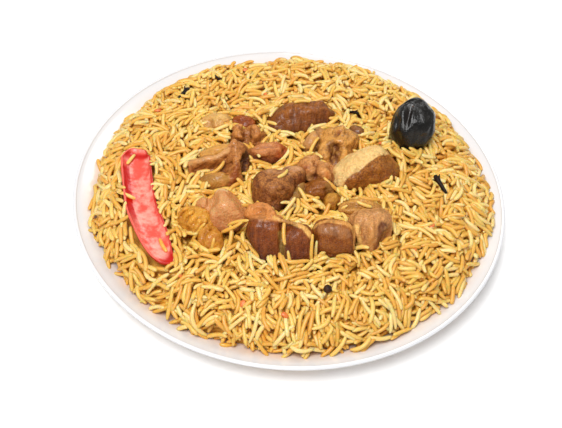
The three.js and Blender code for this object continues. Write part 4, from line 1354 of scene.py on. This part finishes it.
# Grains that lie on the meat and the pepper: x, y, direction, length, bend.
strayGrains = [
    (-5.5, -20.5, 62, 13, -1.6), (4.0, 57.0, 8, 12, 1.3), (-17.5, 42.5, 140, 13, 0.5),
    (-15.5, 53.0, 65, 13, 0.4), (-2.1, -69.5, 94, 15, 1.2), (15.8, -75.0, 91, 12, 0.4),
    (19.0, -75.4, 93, 12, 0.6), (22.4, -74.6, 88, 11, 0.5), (-26.0, 8.5, 130, 13, -1.5),
    (49.0, -35.6, 168, 11, 0.7), (-30.0, -16.4, 80, 9, 0.2), (-27.4, -15.4, 88, 10, 0.2),
    (-25.0, -17.4, 60, 9, 0.3), (-79.2, -75.0, 118, 13, 0.6), (-108.5, -35.5, 163, 14, 0.3),
    (-110.0, -1.8, 68, 11, 0.2), (10.5, -42.5, 20, 13, 0.9), (4.5, -46.0, 155, 12, 0.7),
    (-32.3, -59.5, -14, 15, 0.6), (-36.0, -62.5, 10, 14, -0.8), (13.5, 15.5, 62, 14, 1.0),
    (7.0, 6.0, 6, 14, 1.5), (-1.0, 14.0, 118, 15, 1.0), (31.0, -37.0, 12, 15, 0.8),
    (3.4, -84.5, 118, 12, 0.5), (-58.5, -67.0, 35, 13, 0.8), (-47.5, -79.0, 80, 12, 0.4),
    (26.5, -17.5, 150, 12, 0.8), (48.0, -18.5, 20, 14, 1.0), (60.0, -15.5, 165, 13, 0.6),
    (-66.0, -23.0, 15, 14, 0.8), (-52.0, -25.0, 170, 13, 0.7), (62.5, -70.5, 100, 13, 0.6),
    (-22.0, 33.0, 75, 13, 0.5),
]
draw = np.random.default_rng(grains["seed"])
laid = []


def axisPoints(x, y, direction, length, bend, along, sway=0.0):
    # Places in plan of points along a bent grain.
    share = 2 * along / length
    aside = bend * (0.5 - share ** 2) + sway * (share ** 3 - share)
    return (x + math.cos(direction) * along - math.sin(direction) * aside,
            y + math.sin(direction) * along + math.cos(direction) * aside)


def restOn(x, y, direction, length, bend):
    # Level and slope at which a stiff grain comes to rest, and how much air is left under it.
    along = np.linspace(-0.48, 0.48, 9) * length
    px, py = axisPoints(x, y, direction, length, bend, along)
    ground = heap["ground"]
    heights = sample(ground, px, py)
    for aside in (-0.75, 0.75):
        beside = sample(ground, px - math.sin(direction) * aside, py + math.cos(direction) * aside)
        heights = np.maximum(heights, beside)
    left, right = along[:4, None], along[5:]
    spans = (heights[:4, None] * right - heights[5:] * left) / (right - left)  # bridges over the middle
    level = max(spans.max(), heights[4])
    least = ((heights[5:] - level) / right).max()
    most = ((level - heights[:4]) / -left[:, 0]).min()
    slope = min(max(0.0, least), most)
    air = (level + slope * along - heights).mean()
    level -= min(grains["settle"] * air, 1.6)  # soft grains sink into the gaps below them
    onSolid = (sample(heap["covered"], px, py) & (heights > sample(heap["target"], px, py) + 0.5)).mean()
    if sample(heap["closed"], px, py).mean() > 0.25:
        onSolid = 1.0
    return level, slope, air, onSolid


def layDown(x, y, direction, length, bend, width, level, slope, lift=0.0, sway=0.0):
    # Keep the grain and raise the ground under it.
    half = width / 2
    axisLevel = level + half * grains["sink"] + lift
    along = np.linspace(-0.5, 0.5, 25) * length
    px, py = axisPoints(x, y, direction, length, bend, along, sway)
    droop = []
    for end in (0, -1):
        spare = axisLevel + slope * along[end] - half - sample(heap["ground"], px[end], py[end])
        droop.append(0.75 * min(max(spare, 0), 2.6))
    share = 2 * along / length
    drooped = np.where(share < 0, droop[0], droop[1]) * share ** 2
    tops = axisLevel + slope * along - drooped
    column0 = (px + heap["reach"]) / heap["cell"]
    row0 = (py + heap["reach"]) / heap["cell"]
    for aside in (-0.9, -0.45, 0, 0.45, 0.9):
        step = aside / heap["cell"]
        columns = np.clip(np.rint(column0 - math.sin(direction) * step).astype(int), 0, cells - 1)
        rows = np.clip(np.rint(row0 + math.cos(direction) * step).astype(int), 0, cells - 1)
        crown = half * math.sqrt(max(0, 1 - (aside / half) ** 2))
        heap["ground"][rows, columns] = np.maximum(heap["ground"][rows, columns], tops + crown * 0.7)
    laid.append((x, y, axisLevel, direction, slope, length, bend, sway, width, droop[0], droop[1]))


def randomGrain():
    length = draw.uniform(*grains["length"])
    bend = grains["bend"] * draw.uniform(-1, 1) * draw.uniform(0.3, 1) * length / 12
    if draw.uniform() < grains["curled"]:
        bend *= 2.2
    sway = grains["sway"] * draw.normal() * 0.4
    return length, bend, sway, draw.uniform(*grains["width"])


def clumpDirection(x, y):
    place = np.array([[x, y, 0.0]])
    return 2.2 * math.pi * softNoise(place, grains["clumpSize"], 35)[0]


def pourGrains(upTo, snug=0):
    # Let grains fall one by one until so many lie there or the heap is full.
    failures, places, turns = 0, grains["places"][snug], grains["turns"][snug]
    while len(laid) < upTo and failures < grains["patience"][snug]:
        failures += 1
        angles = draw.uniform(-math.pi, math.pi, places)
        reach = np.sqrt(draw.uniform(0, 1, places))
        x, y = np.cos(angles), np.sin(angles)
        radius = reach * (edgeAt(x, y) - 1.5)
        x, y = x * radius, y * radius
        missing = sample(heap["target"], x, y) - sample(heap["ground"], x, y)
        best = int(np.argmax(missing))
        if snug and draw.uniform() < 0.3:
            best = int(draw.integers(places))
        x, y = float(x[best]), float(y[best])
        length, bend, sway, width = randomGrain()
        if failures > 0.5 * grains["patience"][snug]:  # broken grains fill what is left
            length, bend, sway = length * 0.7, bend * 0.6, sway * 0.5
        heading = clumpDirection(x, y)
        if 0.04 < sample(heap["near"], np.array(x), np.array(y)) < 0.75 and draw.uniform() < 0.6:
            heading = float(sample(heap["skirt"], np.array(x), np.array(y)))
        if math.hypot(x, y) > edgeAt(x, y) - 7 and draw.uniform() < 0.6:
            heading = math.atan2(x, -y)
        found = None
        for turn in range(turns):
            direction = heading + math.radians(grains["clump"]) * draw.normal() * (1 + turn * 0.6)
            level, slope, air, onSolid = restOn(x, y, direction, length, bend)
            if abs(slope) > grains["steepest"] or onSolid > 0.2:
                continue
            if level > sample(heap["target"], np.array(x), np.array(y)) + grains["overfill"]:
                continue
            ends = axisPoints(x, y, direction, length, bend, np.array([-0.5, 0.5]) * length)
            if (np.hypot(*ends) > edgeAt(*ends) + draw.uniform(0, 2.2)).any():
                continue
            score = level + 0.8 * air
            if found is None or score < found[0]:
                found = (score, direction, level, slope)
        if found is None:
            continue
        failures = 0
        _, direction, level, slope = found
        lift = 0.0
        if draw.uniform() < grains["perky"] and abs(slope) < 0.3:
            extra = draw.uniform(0.25, 0.65) * draw.choice([-1, 1])
            slope += extra
            lift = abs(extra) * length * 0.12
        layDown(x, y, direction, length, bend, width, level, slope, lift, sway)


def layStrayGrains():
    for x, y, turn, length, bend in strayGrains:
        direction = math.radians(turn)
        level, slope, _, _ = restOn(x, y, direction, length, bend)
        slope = max(-1.6, min(1.6, slope))
        layDown(x, y, direction, length, bend, grains["strayWidth"], level, slope)


def ringShares():
    # Where a grain's tips and rings are, from -1 to 1, closer together at its round ends.
    even = np.linspace(-1, 1, grains["rings"] + 2)
    return np.sin(even * math.pi / 2) * 0.82 + even * 0.18


def grainVertices(rows):
    # Points of many grains at once: the two tips, then the rings, for each grain.
    x, y, level, direction, slope, length, bend, sway, width, droopLeft, droopRight = rows.T[:, :, None]
    rings, sides = grains["rings"], grains["sides"]
    share = ringShares()[None, :]
    along = share * length / 2
    aside = bend * (0.5 - share ** 2) + sway * (share ** 3 - share)
    px = x + np.cos(direction) * along - np.sin(direction) * aside
    py = y + np.sin(direction) * along + np.cos(direction) * aside
    pz = level + slope * along - np.where(share < 0, droopLeft, droopRight) * share ** 2
    axis = np.stack([px, py, pz], -1)
    ahead = np.gradient(axis, axis=1)
    ahead /= np.linalg.norm(ahead, axis=-1, keepdims=True)
    side = np.cross(np.array([0, 0, 1.0]), ahead)
    side /= np.linalg.norm(side, axis=-1, keepdims=True)
    up = np.cross(ahead, side)
    taper = (1 - np.abs(share) ** 5.5) ** 0.5 * (1 - 0.1 * share)
    radius = (width / 2 * taper)[:, 1:-1, None, None]
    turn = roundAngles(sides)[None, None, :, None]
    ringPoints = (axis[:, 1:-1, None] + radius * (np.cos(turn) * side[:, 1:-1, None]
                                                  + 0.88 * np.sin(turn) * up[:, 1:-1, None]))
    tips = axis[:, [0, -1]]
    return np.concatenate([tips, ringPoints.reshape(len(rows), -1, 3)], 1)


def grainPiece(name, rows):
    rings, sides = grains["rings"], grains["sides"]
    points = grainVertices(rows)
    each = points.shape[1]
    quads = tubeFaces(rings, sides, 2)
    ends = np.concatenate([capFaces(2, sides, 0, True), capFaces(2 + (rings - 1) * sides, sides, 1, False)])
    starts = (np.arange(len(rows)) * each)[:, None, None]
    faces = [(quads[None] + starts).reshape(-1, 4), (ends[None] + starts).reshape(-1, 3)]
    piece = newPiece(name, points.reshape(-1, 3) * mm, faces)
    addValues(piece, "tone", np.repeat(draw.uniform(0, 1, len(rows)), each))
    tip = np.concatenate([[1, 1], np.repeat(np.abs(ringShares()[1:-1]), sides)])
    addValues(piece, "tip", np.tile(tip, len(rows)))
    x, y, z = points.reshape(-1, 3).T
    # How far each point lies under the heap's surface, for painted shade deep in the heap.
    below = sample(heap["roof"], x, y) - z
    addValues(piece, "deep", smoothstep(grainLook["deepFrom"], grainLook["deepTo"], below))
    return piece


def grainMaterial(name, colours):
    look = grainLook
    material, tree, shader, patches = newFinish(name, look)
    tone = mixColour(tree, attributeValue(tree, "tone"), *map(colour, colours))
    stained = mixColour(tree, 1.0, tone, colour(look["stain"]), "MULTIPLY")
    tone = mixColour(tree, scaled(tree, patches, look["stainShare"]), tone, stained)
    ends = {"From Min": look["tipFrom"], "To Max": look["tipShare"]}
    tone = mixColour(tree, ranged(tree, attributeValue(tree, "tip"), ends), tone, colour(look["tip"]))
    # Painted shade on what lies deep in the heap.
    below = scaled(tree, attributeValue(tree, "deep"), look["deepShadeShare"])
    tree.links.new(mixColour(tree, below, tone, colour(look["deep"])), shader.inputs["Base Color"])
    return material


def sortGrains():
    # Deeper colours gather in patches, as where more of the broth was soaked up.
    rows = np.array(laid)
    places = np.concatenate([rows[:, :2], np.zeros((len(rows), 1))], 1)
    depth = 0.45 * layeredNoise(places, 16, 37, 2) + 0.45 * draw.normal(size=len(rows))
    order = np.argsort(depth)
    start = 0
    for name, kind in grainKinds.items():
        last = name == list(grainKinds)[-1]
        end = len(rows) if last else start + int(len(rows) * kind["share"])
        piece = grainPiece(name, rows[np.sort(order[start:end])])
        piece.data.materials.append(grainMaterial(name, kind["colours"]))
        start = end


# Cloves, peppercorns, tomato and dark bits.

# Whole cloves: x, y, direction of the head, size.
cloves = [(-83, 68.5, 62, 1), (-58.5, 92, 133, 0.6), (102.5, -5.5, 124, 1), (39.5, 62.3, -27, 0.75)]
cloveSize = {"stem": 12, "width": 3.4, "sides": 10, "bud": 1.7}
peppercorns = [(27.2, -100.8, 5.4)]  # x, y, size
tomatoBits = {
    "places": [(-98.7, 54), (-39.8, 104), (27.8, -129), (82.9, -62.6), (61.2, 31.5), (-23, 77), (-48, 75.5),
               (115, -18), (1.7, -119), (-25, -112), (74, -84), (95, -40), (-66, -96)],
    "size": (3.2, 6.0),
}
darkBits = {"count": 22, "size": (0.8, 1.7), "reach": 132}
spiceColours = {
    "cloveBark": ("100a06", "2c190e"), "peppercornSkin": ("1c100a", "54341f"),
    "spiceCrumbs": ("3a2214", "6b4325"), "stewedTomato": ("d8672c", "e58a45"),
}
spiceLook = {
    "patches": {"Size": 1.6, "Cover": 0.45, "Edge": 0.2}, "pores": 0.5,
    "roughness": (0.35, 0.6), "bump": (0.5, 0.3), "fixed": {"Specular IOR Level": 0.2},
}
tomatoLook = {
    "patches": {"Size": 2.4, "Cover": 0.5, "Edge": 0.25}, "pores": 0.6,
    "roughness": (0.25, 0.4), "bump": (0.3, 0.3), "fixed": softLight(0.2, (1.0, 0.3, 0.1), 0.0015),
}


def layMatrix(x, y, heading, lift, tilt=0.0):
    # Lays a piece's X along a heading on the heap, and its Z along the heap's slope.
    step = 4.0
    around = heap["roof"]
    slopeX = float(sample(around, x + step, y) - sample(around, x - step, y)) / (2 * step)
    slopeY = float(sample(around, x, y + step) - sample(around, x, y - step)) / (2 * step)
    normal = Vector((-slopeX, -slopeY, 1)).normalized()
    along = Vector((math.cos(heading), math.sin(heading), 0))
    along = (along - normal * along.dot(normal)).normalized()
    along = (along * math.cos(tilt) + normal * math.sin(tilt)).normalized()
    across = normal.cross(along).normalized()
    up = along.cross(across)
    place = Vector((x, y, float(sample(around, x, y)))) + normal * lift
    axes = Matrix((along, across, up)).transposed().to_4x4()
    return Matrix.Translation(place) @ axes


def spindle(profile, sides, square=0.0):
    # A closed form round X from (distance along, radius) pairs, tips at both ends.
    turn = roundAngles(sides)
    flat = 1 + square * (np.abs(np.cos(2 * turn)) - 0.5)
    rings = [np.stack([np.full(sides, x), r * flat * np.cos(turn), r * flat * np.sin(turn)], -1)
             for x, r in profile[1:-1]]
    points = np.concatenate(rings + [[(profile[0][0], 0, 0), (profile[-1][0], 0, 0)]])
    return points, closedTube(len(rings), sides)


def moved(points, matrix, size=1.0):
    axes = np.array(matrix)
    return points * size @ axes[:3, :3].T + axes[:3, 3]


def cloveParts():
    size = cloveSize
    half, stem = size["width"] / 2, size["stem"]
    shaft = [(-stem / 2 - 0.4, 0), (-stem / 2, half * 0.5), (-stem * 0.3, half * 0.72), (0, half * 0.85),
             (stem * 0.3, half * 0.95), (stem * 0.45, half * 1.25), (stem / 2, half * 1.35),
             (stem / 2 + 0.5, half), (stem / 2 + 0.7, 0)]
    parts = [spindle(shaft, size["sides"], 0.16)]
    bud = size["bud"]
    ball = [(bud * math.sin(a), bud * math.cos(a)) for a in np.linspace(-math.pi / 2, math.pi / 2, 9)]
    points, faces = spindle(ball, size["sides"])
    parts.append((points + (stem / 2 + bud * 0.85, 0, 0), faces))
    for quarter in range(4):
        turn = math.radians(45 + 90 * quarter)
        prong = [(0, 0), (0.2, 0.75), (1.0, 0.7), (2.0, 0.4), (2.7, 0)]
        points, faces = spindle(prong, 6)
        lean = Matrix.Rotation(turn, 4, "X") @ Matrix.Translation((stem / 2 - 0.2, 0, half * 0.9))
        lean = lean @ Matrix.Rotation(math.radians(-48), 4, "Y")
        parts.append((moved(points, lean), faces))
    return parts


def blob(size, flat, seed, steps=2):
    # A small uneven lump from a ball of triangles.
    ball = bmesh.new()
    bmesh.ops.create_icosphere(ball, subdivisions=steps, radius=1)
    points = np.array([vertex.co[:] for vertex in ball.verts])
    triangles = np.array([[vertex.index for vertex in face.verts] for face in ball.faces])
    ball.free()
    uneven = 1 + 0.35 * layeredNoise(points + seed * 7.3, 0.9, 51, 2)
    return points * uneven[:, None] * (size / 2, size / 2 * 0.75, size / 2 * flat), [triangles]


def scatterSpices():
    heap["roof"] = blurred(heap["ground"], 3)
    cloveForms, cornForms, tomatoForms, darkForms = [], [], [], []
    for x, y, heading, size in cloves:
        lay = layMatrix(x, y, math.radians(heading), cloveSize["width"] * 0.3 * size, math.radians(5))
        cloveForms += [(moved(points, lay, size), faces) for points, faces in cloveParts()]
    for x, y, size in peppercorns:
        points, faces = blob(size, 1.0, 3, 3)
        corn = points / np.linalg.norm(points, axis=1)[:, None] * size / 2
        corn *= 1 + 0.07 * layeredNoise(points, 1.1, 53, 2)[:, None]
        cornForms.append((moved(corn, layMatrix(x, y, 0, size * 0.32)), faces))
    for index, (x, y) in enumerate(tomatoBits["places"]):
        size = draw.uniform(*tomatoBits["size"])
        lay = layMatrix(x, y, draw.uniform(0, math.pi), 0.1, draw.uniform(-0.4, 0.4))
        points, faces = blob(size, 0.3, index)
        tomatoForms.append((moved(points, lay), faces))
    for index in range(darkBits["count"]):
        radius = darkBits["reach"] * math.sqrt(draw.uniform())
        turn = draw.uniform(-math.pi, math.pi)
        lay = layMatrix(radius * math.cos(turn), radius * math.sin(turn), draw.uniform(0, math.pi), 0.0)
        points, faces = blob(draw.uniform(*darkBits["size"]), 0.6, index + 40, 1)
        darkForms.append((moved(points, lay), faces))
    return {
        "cloves": (cloveForms, "cloveBark", spiceLook),
        "peppercorn": (cornForms, "peppercornSkin", spiceLook),
        "tomatoBits": (tomatoForms, "stewedTomato", tomatoLook),
        "darkBits": (darkForms, "spiceCrumbs", spiceLook),
    }


def spiceMaterial(name, look):
    material, tree, shader, patches = newFinish(name, look)
    tree.links.new(mixColour(tree, patches, *map(colour, spiceColours[name])), shader.inputs["Base Color"])
    return material


layStrayGrains()
pourGrains(grains["most"])
pourGrains(grains["most"], 1)
for name, (forms, finish, look) in scatterSpices().items():
    joined(name, forms).data.materials.append(spiceMaterial(finish, look))
sortGrains()
print("rice:", len(laid), "grains")


# Hand the pieces to the frame.

for name, piece in pieces.items():
    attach(piece, "root")
stands = {**chunks, "plate": plate, "dried_lime": lime, "red_pepper": pepper, "rice_bed": core}
for nodeName, piece in stands.items():
    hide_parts(nodeName)
triangles = {name: sum(len(face.vertices) - 2 for face in piece.data.polygons)
             for name, piece in pieces.items()}
print("triangles:", triangles, sum(triangles.values()))
